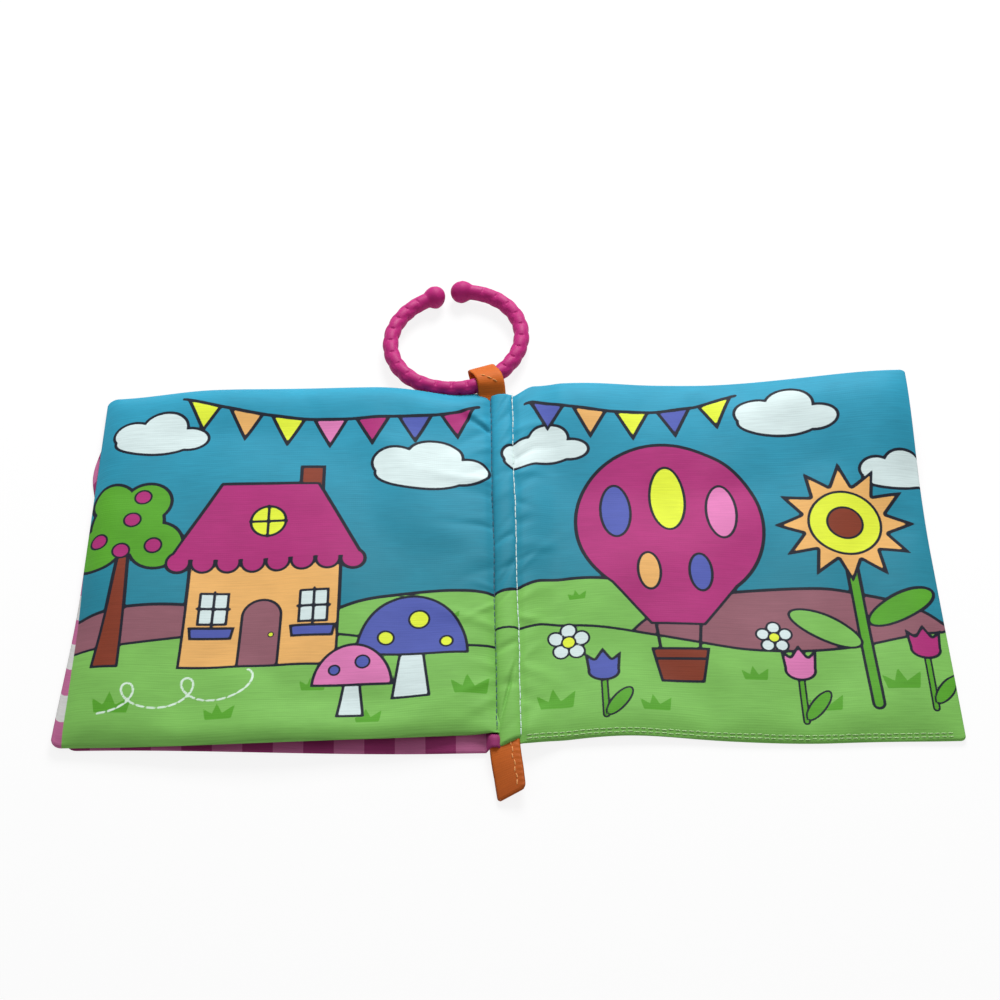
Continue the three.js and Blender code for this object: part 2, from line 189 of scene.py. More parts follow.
class ClothBookColours(PropertyGroup):
    """Colours of the cloth, ribbon, plastic and thread."""

    sky: colour("Sky", "Blue ground of the print at the head", "#2C95B4")
    # Painted shade: the sky turns to this deeper blue towards the foot of a page, where the light falls off.
    sky_painted_shade: colour("Sky in painted shade", "Deeper blue of the ground lower down", "#237F95")
    cloud: colour("Cloud", "Off-white of the print", "#D3E4E4")
    mauve: colour("Mauve", "Dull mauve of the print", "#8C5A66")
    grass: colour("Grass", "Light green of the print", "#7BB958")
    tuft: colour("Tuft", "Dark green of the print", "#559F2A")
    brown: colour("Brown", "Red-brown of the print", "#7E3622")
    peach: colour("Peach", "Peach of the print", "#E6B068")
    magenta: colour("Magenta", "Magenta of the print", "#A92D74")
    pink: colour("Pink", "Pink of the print", "#D87AB2")
    indigo: colour("Indigo", "Indigo of the print", "#4E5AAA")
    yellow: colour("Yellow", "Acid yellow of the print", "#DEEC3C")
    outline: colour("Outline", "Near-black navy of the outlines", "#0B1120")
    thread: colour("Print dashes", "White of the printed dashes", "#D8EEDC")
    check_dark: colour("Check, both stripes", "Gingham where both stripes cross", "#95346A")
    check_mid: colour("Check, one stripe", "Gingham where one stripe runs", "#BC6894")
    check_pale: colour("Check, ground", "Ground of the gingham", "#D6D6D4")
    ribbon: colour("Ribbon", "Orange of the ribbon", "#C6621B")
    # Painted shade: the ribbon turns to this deeper orange towards its end, where the drooping tab faces away
    # from the light.
    ribbon_painted_shade: colour("Ribbon in painted shade", "Deeper orange towards the end of the pull tab", "#A64E15")
    ring: colour("Ring", "Magenta of the moulded ring", "#AE1C6E")
    white_thread: colour("White thread", "Topstitching of the spine", "#D6E8E4")
    crease_thread: colour("Crease thread", "Thread down in the crease", "#14455C")
    hem_thread: colour("Hem thread", "Thread of the near hem", "#BDE3A0")
    tab_thread: colour("Tab thread", "Thread along the pull tab", "#EA9C4E")


def sizes():
    """The sizes in the scene's settings."""
    return bpy.context.scene.cloth_book_sizes


def colours():
    """The colours in the scene's settings."""
    return bpy.context.scene.cloth_book_colours


def smooth_step(value, start, end):
    """0 before start, 1 after end, and a smooth S between them."""
    share = np.clip((value - start) / (end - start), 0, 1)
    return share * share * (3 - 2 * share)


def bump(value, centre, width):
    """A smooth bump of height 1 about centre."""
    return np.exp(-(((value - centre) / width) ** 2))


# Meshes


def make_piece(name, points, faces, materials, slots=None, weld=False):
    """A smooth-shaded object at the origin from points in millimetres and rows of corner numbers."""
    mesh = bpy.data.meshes.new(name)
    faces = faces if isinstance(faces, list) else faces.tolist()
    mesh.from_pydata((np.asarray(points) * MM).tolist(), [], faces)
    for material in materials:
        mesh.materials.append(material)
    if slots is not None:
        mesh.polygons.foreach_set("material_index", np.asarray(slots, np.int32))
    if weld:
        work = bmesh.new()
        work.from_mesh(mesh)
        bmesh.ops.remove_doubles(work, verts=work.verts, dist=1e-7)
        bmesh.ops.recalc_face_normals(work, faces=work.faces)
        work.to_mesh(mesh)
        work.free()
    mesh.polygons.foreach_set("use_smooth", np.ones(len(mesh.polygons), bool))
    mesh.update()
    piece = bpy.data.objects.new(name, mesh)
    bpy.context.scene.collection.objects.link(piece)
    return piece


def cells(index):
    """The four corners of every cell of a grid of vertex numbers."""
    return np.stack([index[:-1, :-1], index[:-1, 1:], index[1:, 1:], index[1:, :-1]], -1).reshape(-1, 4)


def set_cloth_map(piece, across, along):
    """A UV map in metres of cloth, so that weave and checks follow the cloth."""
    mesh = piece.data
    corner = np.zeros(len(mesh.loops), np.int32)
    mesh.loops.foreach_get("vertex_index", corner)
    uv = np.stack([across, along], -1)[corner] * MM
    mesh.uv_layers.new(name="cloth").data.foreach_set("uv", uv.ravel().astype(np.float32))


def set_value(piece, name, values):
    """A number at each vertex, for the material to read."""
    piece.data.attributes.new(name, "FLOAT", "POINT").data.foreach_set("value", values.astype(np.float32))


def closed_leaf(name, over, under, materials):
    """A closed pad: an upper grid, and a lower one of every second line that shares its border."""
    rows, columns = over.shape[:2]
    upper = np.arange(rows * columns).reshape(rows, columns)
    lower = upper[::2, ::2].copy()
    inner = lower[1:-1, 1:-1]
    inner[:] = rows * columns + np.arange(inner.size).reshape(inner.shape)
    points = np.concatenate([over.reshape(-1, 3), under[2:-2:2, 2:-2:2].reshape(-1, 3)])
    between = {}
    for line in (upper[0], upper[-1], upper[:, 0], upper[:, -1]):
        for first, middle, last in zip(line[::2].tolist(), line[1::2].tolist(), line[2::2].tolist()):
            between[first, last] = between[last, first] = middle
    top = cells(upper).tolist()
    bottom = []
    for corners in cells(lower)[:, ::-1].tolist():
        face = []
        for first, last in zip(corners, corners[1:] + corners[:1]):
            face += [first, between[first, last]] if (first, last) in between else [first]
        bottom.append(face)
    slots = np.repeat([0, 1], [len(top), len(bottom)])
    return make_piece(name, points, top + bottom, materials, slots)


def both_faces(values):
    """Values for the upper grid, followed by those for the inner points of the lower one."""
    return np.concatenate([values.ravel(), values[2:-2:2, 2:-2:2].ravel()])


def edge_lines(start, end, pitch):
    """An odd number of even grid lines, closer at both ends where the edge turns over."""
    edge = np.array([0, 0.12, 0.35, 0.7, 1.2])
    first, last = start + edge[-1] + pitch, end - edge[-1] - pitch
    inner = np.linspace(first, last, 2 * round((last - first) / pitch / 2) + 1)
    return np.concatenate([start + edge, inner, end - edge[::-1]])


# Cloth forms


def ripples(across, along, wave, seed):
    """Soft waves over a leaf: a sum of seven plane waves of nearly one length, in seeded directions."""
    pick = np.random.default_rng(seed)
    total = np.zeros_like(across)
    for _ in range(7):
        turn, phase = pick.uniform(0, math.tau, 2)
        step = math.tau / (wave * pick.uniform(0.7, 1.6))
        total += np.sin((across * math.cos(turn) + along * math.sin(turn)) * step + phase)
    return total / 4


def puckers(reach, cross, count, run, seed):
    """Short ridges that leave a seam at reach 0: each is a bell across its line and fades along it."""
    pick = np.random.default_rng(seed)
    total = np.zeros_like(reach)
    for place in np.linspace(-LEAF_HALF + 4, LEAF_HALF - 4, count) + pick.normal(0, 1.8, count):
        slant = pick.normal(0, 0.35)
        width = pick.uniform(1.3, 2.9)
        reach_out = run * pick.uniform(0.4, 1.5)
        height = pick.uniform(0.35, 1.0) * pick.choice([1, 1, -1])
        line = bump(cross - slant * reach, place, width * (1 + np.abs(reach) / 40))
        total += height * line * np.exp(-((reach / reach_out) ** 2)) * smooth_step(reach, -1, 1.5)
    return total


def swelling(depth, run):
    """From 0 at an edge to 1 well inside it: one less a falling exponential."""
    return 1 - np.exp(-((np.maximum(depth, 0) / run) ** 1.3))


def pad(reach, cross, run):
    """Rounded lip along the sewn edge, and the swell of the wadding, full at about twice run inside it."""
    side = LEAF_HALF - np.abs(cross)
    fore = LEAF_WIDTH - reach
    edge = np.minimum.reduce([side, fore, reach + TONGUE])
    lip = EDGE_THICKNESS * np.sqrt(1 - (1 - np.clip(edge / EDGE_ROUND, 0, 1)) ** 2)
    swell = swelling(side, run) * swelling(fore, run) * (0.35 + 0.65 * swelling(reach, 10))
    return lip, (sizes().fullness / MM - EDGE_THICKNESS) * swell


def corner_drop(fore, radius):
    """How far an edge has turned in, near a corner of that radius: a quarter of a circle."""
    share = np.clip(1 - fore / radius, 0, 1)
    return radius * (1 - np.sqrt(1 - share * share))


def leaf_points(reach, cross, form, moved=None):
    """Upper and lower points of a leaf.

    form gives x, y, the level under the leaf, what is added on top of it and the run of its swelling.
    moved is how far the cloth solver took each upper point.
    """
    x, y, level, extra, run = form(reach, cross)
    lip, swell = pad(reach, cross, run)
    middle = level + EDGE_THICKNESS / 2
    fade = lip / EDGE_THICKNESS
    over = np.stack([x, y, middle + lip / 2 + swell + extra * fade], -1)
    under = np.stack([x, y, middle - lip / 2], -1)
    if moved is not None:
        over = over + moved * fade[..., None]
    return over, under


def front_cover_form(reach, cross):
    """The leaf on the table at the left, as edges, a level and ripples of its reach and cross.

    By the spine its near edge runs out past the page above it and rises over the pull tab. Its far edge is
    drawn in beside the ring and full near the corner, and its fore edge bulges out near the head.
    """
    along = (cross + LEAF_HALF) / (2 * LEAF_HALF)
    fore = LEAF_WIDTH - reach
    far = 78.6 - 2.7 * bump(reach, 18, 13) + 2.6 * bump(reach, 136, 15) - corner_drop(fore, 6)
    near = -81.2 + 3.5 * smooth_step(reach, 20, 150) + corner_drop(fore, 4)
    edge = 155.8 + 2.9 * bump(cross, 46, 12)
    x = -(SPINE_HALF + reach * (edge - SPINE_HALF) / LEAF_WIDTH)
    # The far side lifts along its middle, and the near end rises over the tab.
    level = 2.0 * smooth_step(along, 0.84, 1) * smooth_step(reach, 4, 40) * (1 - smooth_step(reach, 105, 155))
    over_tab = smooth_step(reach, -2.6, 0) * (1 - smooth_step(reach, 2.6, 4.2))
    level = level + 4.2 * over_tab * (1 - smooth_step(along, 0.02, 0.055))
    extra = 0.25 * ripples(x, cross, wave=40, seed=5)
    return x, near + (far - near) * along, level, extra, 6.0


def left_page_form(reach, cross):
    """The printed page on the front cover, as edges, a level and relief of its reach and cross.

    It is drawn in by the crease and full at its edges. Its far edge falls in beside the ring and ends in a
    round corner, and its near edge stands up along its middle.
    """
    along = (cross + LEAF_HALF) / (2 * LEAF_HALF)
    fore = LEAF_WIDTH - reach
    far = 77.9 + 2.8 * smooth_step(reach, 8, 48) - 1.7 * smooth_step(reach, 95, 152) - corner_drop(fore, 4.5)
    far = far + 0.9 * (1 - smooth_step(reach, 5, 15)) - 1.0 * bump(reach, 21, 11)
    raised = smooth_step(reach, 6, 40) * (1 - smooth_step(reach, 100, 152))
    near = -75.4 - 2.1 * smooth_step(reach, 15, 140) + corner_drop(fore, 4) - 1.9 * raised
    edge = 157.8 - 1.6 * along + 3.6 * (1 - smooth_step(along, -0.15, 0.42))
    x = -(SPINE_HALF + reach * (edge - SPINE_HALF) / LEAF_WIDTH)
    _, swell = pad(reach, cross, 6.0)
    level = EDGE_THICKNESS + swell + STACK_GAP
    # The far side lifts, the near edge stands up, the foot rises over the tab and the tongue dips.
    by_corner = 1 - smooth_step(reach, 112, 155)
    level = level + 3.2 * smooth_step(along, 0.84, 1) * smooth_step(reach, -4, 30) * by_corner
    level = level + 0.9 * (1 - smooth_step(along, 0, 0.06)) * (1 - smooth_step(reach, 90, 150))
    level = level + 2.6 * raised * (1 - smooth_step(along, 0, 0.11))
    level = level + 2.0 * bump(reach, -1, 7) * (1 - smooth_step(along, 0.01, 0.08))
    level = level - 1.6 * (1 - smooth_step(reach, -2.5, 0.4))
    # Puckers along the seam, the dip of the crease, and one fold that leaves it slanting at the head.
    seam = sizes().pucker / MM * puckers(reach, cross, count=19, run=15, seed=11)
    crease = -0.9 * bump(reach, 0, 2.0)
    aside = (cross - 58.6 - 0.69 * reach) / 1.21
    fold = 0.6 * bump(aside, 2.4, 2.0) - bump(aside, 0, 0.5 + 0.13 * np.maximum(reach, 0))
    fold = fold * (1 - smooth_step(reach, 5, 16)) * smooth_step(reach, -0.5, 2)
    extra = sizes().ripple / MM * ripples(x, cross, wave=46, seed=3) + seam + crease + fold
    return x, near + (far - near) * along, level, extra, 4.5


def right_page_form(reach, cross):
    """The back cover, as edges, a level and relief of its reach and cross.

    It comes down from the spine to the table. Its far side and corner lift, and so does its near edge, a
    little, not far from the spine.
    """
    along = (cross + LEAF_HALF) / (2 * LEAF_HALF)
    fore = LEAF_WIDTH - reach
    far = 75.6 + 5.0 * smooth_step(reach, -1, 9) - 0.9 * smooth_step(reach, 60, 120) - corner_drop(fore, 2)
    near = -78.4 + 2.6 * bump(reach, 36, 27) - 1.2 * bump(reach, 104, 26) - 1.0 * smooth_step(reach, 110, 150)
    near = near - 1.5 * bump(reach, 0, 9) + corner_drop(fore, 2)
    edge = 160.5 - 1.3 * along
    x = SPINE_HALF + reach * (edge - SPINE_HALF) / LEAF_WIDTH
    level = 3.3 * (1 - smooth_step(reach, 0, 17)) - 1.6 * (1 - smooth_step(reach, -2.5, 0.2))
    # The far corner curls, the far side lifts, most by the spine, and the near edge stands up a little.
    curl = smooth_step(reach / LEAF_WIDTH, 0.45, 1) * smooth_step(along, 0.5, 1)
    level = level + sizes().corner_lift / MM * curl
    level = level + 3.4 * smooth_step(along, 0.66, 1) * smooth_step(reach, 3, 20)
    level = level + 2.6 * smooth_step(along, 0.72, 1) * bump(reach, 24, 22)
    level = level + 1.3 * bump(reach, 38, 26) * (1 - smooth_step(along, 0, 0.14))
    seam = sizes().pucker / MM * puckers(reach, cross, count=23, run=11, seed=23)
    groove = -0.7 * bump(reach, 0, 1.7)
    extra = sizes().ripple / MM * ripples(x, cross, wave=44, seed=8) + seam + groove
    return x, near + (far - near) * along, level, extra, 6.0


def page_ends(form):
    """Near and far end of a leaf beside the spine."""
    _, (near, far), _, _, _ = form(np.full(2, 0.3), np.array([-LEAF_HALF, LEAF_HALF]))
    return near, far


def spread(values, lines, wanted):
    """Carries rows of values from even lines to the wanted ones along smooth cubics."""
    place = np.clip((wanted - lines[0]) / (lines[1] - lines[0]), 0, len(lines) - 1.001)
    first = place.astype(int)
    t = (place - first)[:, None, None]
    before, here, there, after = (values[np.clip(first + k, 0, len(lines) - 1)] for k in (-1, 0, 1, 2))
    cubic = 3 * (here - there) + after - before
    square = 2 * before - 5 * here + 4 * there - after
    return here + 0.5 * t * (there - before + t * (square + t * cubic))


def settled(form, reach_lines, cross_lines, seed):
    """How far the upper cloth of a leaf moves in Blender's cloth solver, on the wanted grid lines.

    The cloth is a little fuller than the leaf, most of all by the spine seam. It is held at its sewn edges
    and lightly by the wadding, and buckles. It is worked at ten times its size, where the solver is steady.
    """
    count = SOLVER_GRID
    coarse_reach = np.linspace(-TONGUE, LEAF_WIDTH, count)
    coarse_cross = np.linspace(-LEAF_HALF, LEAF_HALF, count)
    reach, cross = np.meshgrid(coarse_reach, coarse_cross)
    sewn, _ = leaf_points(reach, cross, form)
    laid = sewn.copy()
    laid[1:-1, 1:-1, 2] += np.random.default_rng(seed).normal(0, 0.03, (count - 2, count - 2))
    index = np.arange(reach.size).reshape(reach.shape)
    cloth = make_piece("cloth_at_rest", laid.reshape(-1, 3) * SOLVER_SCALE, cells(index), [])
    edge = np.minimum(LEAF_HALF - np.abs(cross), LEAF_WIDTH - reach)
    held = np.where((edge < 0.01) | (reach < 1.5), 1.0, HELD_BY_WADDING)
    gathers = np.maximum(np.exp(-np.maximum(reach, 0) / 25), 0.6 * np.exp(-edge / 12)).round(1)
    for name, weights in (("seam", held), ("gathers", gathers)):
        group = cloth.vertex_groups.new(name=name)
        for weight in np.unique(weights).tolist():
            group.add(index[weights == weight].tolist(), weight, "REPLACE")
    solver = cloth.modifiers.new("buckling", "CLOTH")
    solver.settings.vertex_group_mass = "seam"
    solver.settings.vertex_group_shrink = "gathers"
    solver.settings.shrink_min = -FULLNESS[0]
    solver.settings.shrink_max = -FULLNESS[1]
    solver.settings.quality = 6
    solver.settings.mass = 0.3
    solver.settings.tension_stiffness = 15
    solver.settings.compression_stiffness = 15
    solver.settings.shear_stiffness = 6
    solver.settings.bending_stiffness = 5
    solver.settings.effector_weights.gravity = 0
    solver.collision_settings.use_collision = False
    solver.point_cache.frame_end = SOLVER_STEPS
    for step in range(1, SOLVER_STEPS + 1):
        bpy.context.scene.frame_set(step)
    ready = cloth.evaluated_get(bpy.context.evaluated_depsgraph_get()).data
    place = np.zeros(reach.size * 3, np.float32)
    ready.vertices.foreach_get("co", place)
    moved = place.reshape(sewn.shape) / MM / SOLVER_SCALE - sewn
    bpy.data.objects.remove(cloth)
    bpy.context.scene.frame_set(1)
    # Two rounds of averaging with the four neighbours take out single sharp points.
    for _ in range(2):
        beside = moved[:-2, 1:-1] + moved[2:, 1:-1] + moved[1:-1, :-2] + moved[1:-1, 2:]
        moved[1:-1, 1:-1] = moved[1:-1, 1:-1] / 2 + beside / 8
    moved = np.clip(moved, -FURTHEST_MOVE, FURTHEST_MOVE)
    wide = spread(moved, coarse_cross, cross_lines)
    return spread(wide.swapaxes(0, 1), coarse_reach, reach_lines).swapaxes(0, 1)


# Print: signed distances in millimetres on the flat page, negative inside a shape


def disc(x, y, place, radius):
    """Distance to a circle."""
    return np.hypot(x - place[0], y - place[1]) - radius


def oval(x, y, place, radii, turn=0.0):
    """Distance to an ellipse, near enough: its level curve divided by its own slope."""
    dx, dy = x - place[0], y - place[1]
    px = dx * math.cos(turn) + dy * math.sin(turn)
    py = dy * math.cos(turn) - dx * math.sin(turn)
    level = np.hypot(px / radii[0], py / radii[1])
    slope = np.hypot(px / radii[0] ** 2, py / radii[1] ** 2)
    return level * (level - 1) / np.maximum(slope, 1e-6)


def bar(x, y, start, end, radius):
    """Distance to a line with round ends."""
    ex, ey = end[0] - start[0], end[1] - start[1]
    share = np.clip(((x - start[0]) * ex + (y - start[1]) * ey) / (ex * ex + ey * ey), 0, 1)
    return np.hypot(x - start[0] - share * ex, y - start[1] - share * ey) - radius


def polygon(x, y, corners):
    """Distance to an outline of straight sides.

    A point is inside where a ray to its right crosses the outline an odd number of times.
    """
    best = np.full(x.shape, 1e6)
    inside = np.zeros(x.shape, bool)
    for (ax, ay), (bx, by) in zip(corners, corners[1:] + corners[:1]):
        best = np.minimum(best, bar(x, y, (ax, ay), (bx, by), 0))
        if ay != by:
            inside ^= ((ay > y) != (by > y)) & (x < (bx - ax) * (y - ay) / (by - ay) + ax)
    return np.where(inside, -best, best)


def joined(*shapes):
    """Several shapes as one."""
    return np.minimum.reduce(shapes)


class Print:
    """One flat print: a distance field for each ink, with the dark outline lying under the fills."""

    LINE = 1.35
    BLEED = 0.3

    def __init__(self, x, y):
        self.x, self.y = x, y
        self.inks = {ink: np.full(x.shape, NO_INK) for ink in INKS}

    def lay(self, ink, shape, line=LINE):
        """Lays a shape over the print: the other fills are cut away, and its own stops short of its edge."""
        lies_over = INKS[1:] if line else INKS[INKS.index(ink) + 1 :]
        for name in lies_over:
            self.inks[name] = np.maximum(self.inks[name], -shape - (self.BLEED if line else 0))
        self.inks[ink] = np.minimum(self.inks[ink], shape + line)
        if line:
            self.inks["outline"] = np.minimum(self.inks["outline"], shape)

    def stroke(self, ink, start, end, radius):
        """Adds a plain line. A dark one is cut out of the fills that would cover it."""
        line = bar(self.x, self.y, start, end, radius)
        self.inks[ink] = np.minimum(self.inks[ink], line)
        if ink == "outline":
            for name in INKS[1:]:
                self.inks[name] = np.maximum(self.inks[name], -line)

    def cloud(self, place, size):
        """Four puffs."""
        px, py = place
        puffs = [(0, 0, 17, 7), (-9, 4, 9, 7), (4, 7, 10, 8), (14, 1, 9, 6)]
        shapes = [
            oval(self.x, self.y, (px + out * size, py + up * size), (wide * size, tall * size))
            for out, up, wide, tall in puffs
        ]
        self.lay("cloud", joined(*shapes), 1.2)

    def tufts(self, places):
        """Tufts of grass: a saw-toothed outline without a line round it."""
        blade = [(-6, 0), (-7.5, 6), (-3.2, 3), (-1.6, 8.5), (1.2, 3), (6.5, 7), (5.5, 0)]
        for px, py, size in places:
            self.lay("tuft", polygon(self.x, self.y, [(px + a * size, py + b * size) for a, b in blade]), 0)

    def bunting(self, start, end, sag, inks):
        """Triangular flags on a hanging string."""
        share = np.linspace(0, 1, 2 * len(inks) + 1)
        sx = start[0] + (end[0] - start[0]) * share
        sy = start[1] + (end[1] - start[1]) * share - 4 * sag * share * (1 - share)
        line = list(zip(sx.tolist(), sy.tolist()))
        for number, ink in enumerate(inks):
            (ax, ay), (mx, my), (bx, by) = line[2 * number : 2 * number + 3]
            corners = [(ax + 0.8, ay + 0.6), (mx, my - 13.5), (bx - 0.8, by + 0.6)]
            self.lay(ink, polygon(self.x, self.y, corners))
        for first, second in zip(line, line[1:]):
            self.stroke("outline", first, second, 0.7)

    def tulip(self, place, ink, tall):
        """A stem with one leaf and a three-pointed cup."""
        px, py = place
        x, y = self.x, self.y
        self.lay("tuft", bar(x, y, (px, py), (px, py + tall), 1.7), 1.0)
        self.lay("tuft", oval(x, y, (px + 5, py + tall * 0.35), (7.8, 3.3), 0.9), 1.1)
        cup = [(-6, 2), (-7, 12), (-3.2, 8.5), (0, 13.5), (3.2, 8.5), (7, 12), (6, 2)]
        body = polygon(x, y, [(px + a, py + tall + b) for a, b in cup])
        self.lay(ink, joined(body, oval(x, y, (px, py + tall + 2.5), (6.2, 4.6))))

    def daisy(self, place, size):
        """Five petals round a centre."""
        px, py = place
        turns = [math.tau * k / 5 + 0.3 for k in range(5)]
        petals = [
            disc(self.x, self.y, (px + 4.2 * size * math.cos(t), py + 4.2 * size * math.sin(t)), 3.1 * size)
            for t in turns
        ]
        self.lay("cloud", joined(*petals), 1.1)
        self.lay("yellow", disc(self.x, self.y, place, 2.7 * size), 1.0)


def left_print(x, y):
    """A cottage, an apple tree and two toadstools under bunting.

    x runs from the fore edge and y from the near edge.
    """
    art = Print(x, y)
    art.cloud((22, 133), 0.95)
    art.cloud((128, 116), 1.15)
    art.lay("mauve", oval(x, y, (34, 34), (52, 24)))
    art.lay("grass", oval(x, y, (136, 30), (60, 32)))
    art.lay("grass", (y - 42 - 4.5 * np.sin((x - 26) / 26)) * 0.97)
    art.tufts([(20, 12, 1.0), (90, 20, 0.7), (146, 16, 1.0), (58, 9, 0.8), (138, 48, 0.6), (110, 6, 0.7)])
    art.lay("brown", polygon(x, y, [(9, 30), (20, 30), (17.5, 82), (12.5, 82)]))
    crown = [(15, 94, 15), (4, 84, 11), (27, 84, 11), (9, 105, 9), (22, 104, 10)]
    art.lay("tuft", joined(*[disc(x, y, (a, b), r) for a, b, r in crown]))
    for place in [(5, 87), (17, 96), (26, 84), (14, 82), (20, 107)]:
        art.lay("magenta", disc(x, y, place, 3.9), 1.1)
    art.lay("brown", polygon(x, y, [(80, 90), (90, 90), (90, 120), (80, 120)]))
    art.lay("peach", polygon(x, y, [(40, 30), (98, 30), (98, 80), (40, 80)]))
    eaves = [disc(x, y, (36 + 9.4 * k, 76), 5.2) for k in range(8)]
    art.lay("magenta", joined(polygon(x, y, [(31, 76), (107, 76), (88, 112), (50, 112)]), *eaves))
    art.lay("yellow", disc(x, y, (69, 94), 7.5))
    art.lay("mauve", joined(polygon(x, y, [(61, 30), (77, 30), (77, 52), (61, 52)]), disc(x, y, (69, 52), 8)))
    art.lay("yellow", disc(x, y, (73, 44), 1.5), 0.7)
    for left in (45, 82):
        art.lay("cloud", polygon(x, y, [(left, 48), (left + 12, 48), (left + 12, 63), (left, 63)]))
        art.stroke("outline", (left + 6, 48), (left + 6, 63), 0.55)
        art.stroke("outline", (left, 55.5), (left + 12, 55.5), 0.55)
        art.lay("indigo", polygon(x, y, [(left - 2, 42), (left + 14, 42), (left + 15, 48), (left - 3, 48)]))
    art.stroke("outline", (69, 87), (69, 101), 0.55)
    art.stroke("outline", (62, 94), (76, 94), 0.55)
    art.lay("cloud", polygon(x, y, [(117, 15), (132, 15), (129, 38), (120, 38)]))
    art.lay("indigo", np.maximum(oval(x, y, (124.5, 33), (21, 27)), 33 - y))
    for place, radius in [((115, 41), 3.6), ((127, 49), 4.4), ((137, 39), 3.0)]:
        art.lay("yellow", disc(x, y, place, radius), 1.1)
    art.lay("cloud", polygon(x, y, [(98, 8), (109, 8), (107, 23), (100, 23)]))
    art.lay("pink", np.maximum(oval(x, y, (103.5, 21), (15, 18)), 21 - y))
    for place, radius in [((97, 28), 2.6), ((107, 31), 3.2)]:
        art.lay("indigo", disc(x, y, place, radius), 1.0)
    share = np.linspace(0, 1, 121)
    path_x = 66 - 52 * share + 6.5 * np.sin(5 * math.pi * share)
    path_y = 24 - 7 * share + 5.5 * np.cos(5 * math.pi * share)
    path = np.stack([path_x, path_y], -1).tolist()
    for first in range(0, 120, 3):
        art.stroke("thread", path[first], path[first + 2], 0.42)
    flags = ["yellow", "peach", "yellow", "pink", "magenta", "indigo", "magenta"]
    art.bunting((32, 153), (150, 150), 10, flags)
    return art.inks


def right_print(x, y):
    """A patched balloon over hills, a sunflower and tulips.

    x runs from the spine and y from the near edge.
    """
    art = Print(x, y)
    art.cloud((10, 126), 0.85)
    art.cloud((104, 138), 1.0)
    art.cloud((146, 112), 0.8)
    art.lay("grass", oval(x, y, (18, 26), (66, 42)))
    art.lay("mauve", oval(x, y, (100, 32), (64, 32)))
    art.lay("grass", (y - 43 - 6 * np.sin((x + 46) / 30)) * 0.96)
    art.tufts([(13, 12, 1.0), (84, 24, 0.7), (108, 12, 0.9), (136, 20, 1.0), (22, 58, 0.5), (48, 10, 0.8)])
    art.daisy((18, 40), 1.15)
    art.daisy((92, 42), 1.0)
    envelope = joined(
        oval(x, y, (58, 92), (36, 37)), polygon(x, y, [(27, 74), (89, 74), (68, 46), (48, 46)])
    )
    art.lay("magenta", envelope)
    patches = [("indigo", 38, 98, 6.5, 13), ("yellow", 58, 104, 7.5, 15), ("pink", 78, 98, 6.5, 13)]
    for ink, px, py, across, tall in patches + [("peach", 49, 70, 5.0, 9), ("indigo", 68, 70, 5.0, 9)]:
        art.lay(ink, oval(x, y, (px, py), (across, tall)))
    art.stroke("outline", (50, 46), (51, 36), 0.6)
    art.stroke("outline", (66, 46), (65, 36), 0.6)
    art.lay("brown", polygon(x, y, [(50, 22), (66, 22), (69, 37), (47, 37)]))
    art.stroke("outline", (49, 32), (67, 32), 0.55)
    art.lay("tuft", bar(x, y, (126, 14), (124, 80), 2.8))
    art.lay("grass", oval(x, y, (111, 46), (15, 6), -0.5))
    art.lay("tuft", oval(x, y, (140, 55), (15, 6), 0.5))
    petals = []
    for k in range(24):
        turn, tip = math.tau * k / 24, (27, 17)[k % 2]
        petals.append((124 + tip * math.cos(turn), 92 + tip * math.sin(turn)))
    art.lay("peach", polygon(x, y, petals))
    art.lay("yellow", disc(x, y, (124, 92), 14.5))
    art.lay("brown", disc(x, y, (124, 92), 7.5), 1.2)
    art.tulip((146, 12), "magenta", 22)
    art.tulip((100, 8), "pink", 18)
    art.tulip((30, 8), "indigo", 16)
    art.bunting((5, 151), (88, 152), 8, ["indigo", "peach", "yellow", "indigo", "yellow"])
    return art.inks


# Materials


def add_node(tree, kind, inputs=None, **settings):
    """Adds a shader node: settings are its own options, and inputs gives its sockets values or links."""
    made = tree.nodes.new(kind)
    for name, value in settings.items():
        setattr(made, name, value)
    for socket, source in (inputs or {}).items():
        if isinstance(source, bpy.types.NodeSocket):
            tree.links.new(source, made.inputs[socket])
        else:
            made.inputs[socket].default_value = source
    return made


def new_material(name):
    """An empty material and its node tree."""
    material = bpy.data.materials.new(name)
    material.use_nodes = True
    material.node_tree.nodes.clear()
    return material, material.node_tree


def opaque(value):
    """A colour with full alpha."""
    return (*value, 1.0)


def cloth_weave(tree, spacing, relief):
    """Plain weave: the bump of lines along the cloth crossed by weaker ones, and uneven slubs from 0 to 1."""
    place = add_node(tree, "ShaderNodeUVMap", uv_map="cloth").outputs["UV"]
    lines = []
    for direction, step in (("Y", spacing), ("X", spacing * 0.8)):
        wave = {"Vector": place, "Scale": WAVE_REPEAT / (step * MM)}
        wave |= {"Distortion": 1.2, "Detail": 2.0, "Detail Scale": 0.4}
        lines.append(add_node(tree, "ShaderNodeTexWave", wave, bands_direction=direction).outputs["Fac"])
    height = add_node(tree, "ShaderNodeMath", {0: lines[1], 1: 0.35, 2: lines[0]}, operation="MULTIPLY_ADD")
    raised = {"Height": height.outputs[0], "Strength": relief, "Distance": 0.0002}
    lift = add_node(tree, "ShaderNodeBump", raised)
    # A slub is about 11 mm long and 0.7 mm wide.
    long_way = add_node(tree, "ShaderNodeMapping", {"Vector": place, "Scale": (90, 1500, 1)}).outputs[0]
    slub = add_node(tree, "ShaderNodeTexNoise", {"Vector": long_way, "Scale": 1.0, "Detail": 2.0})
    return place, slub.outputs["Fac"], lift.outputs["Normal"]


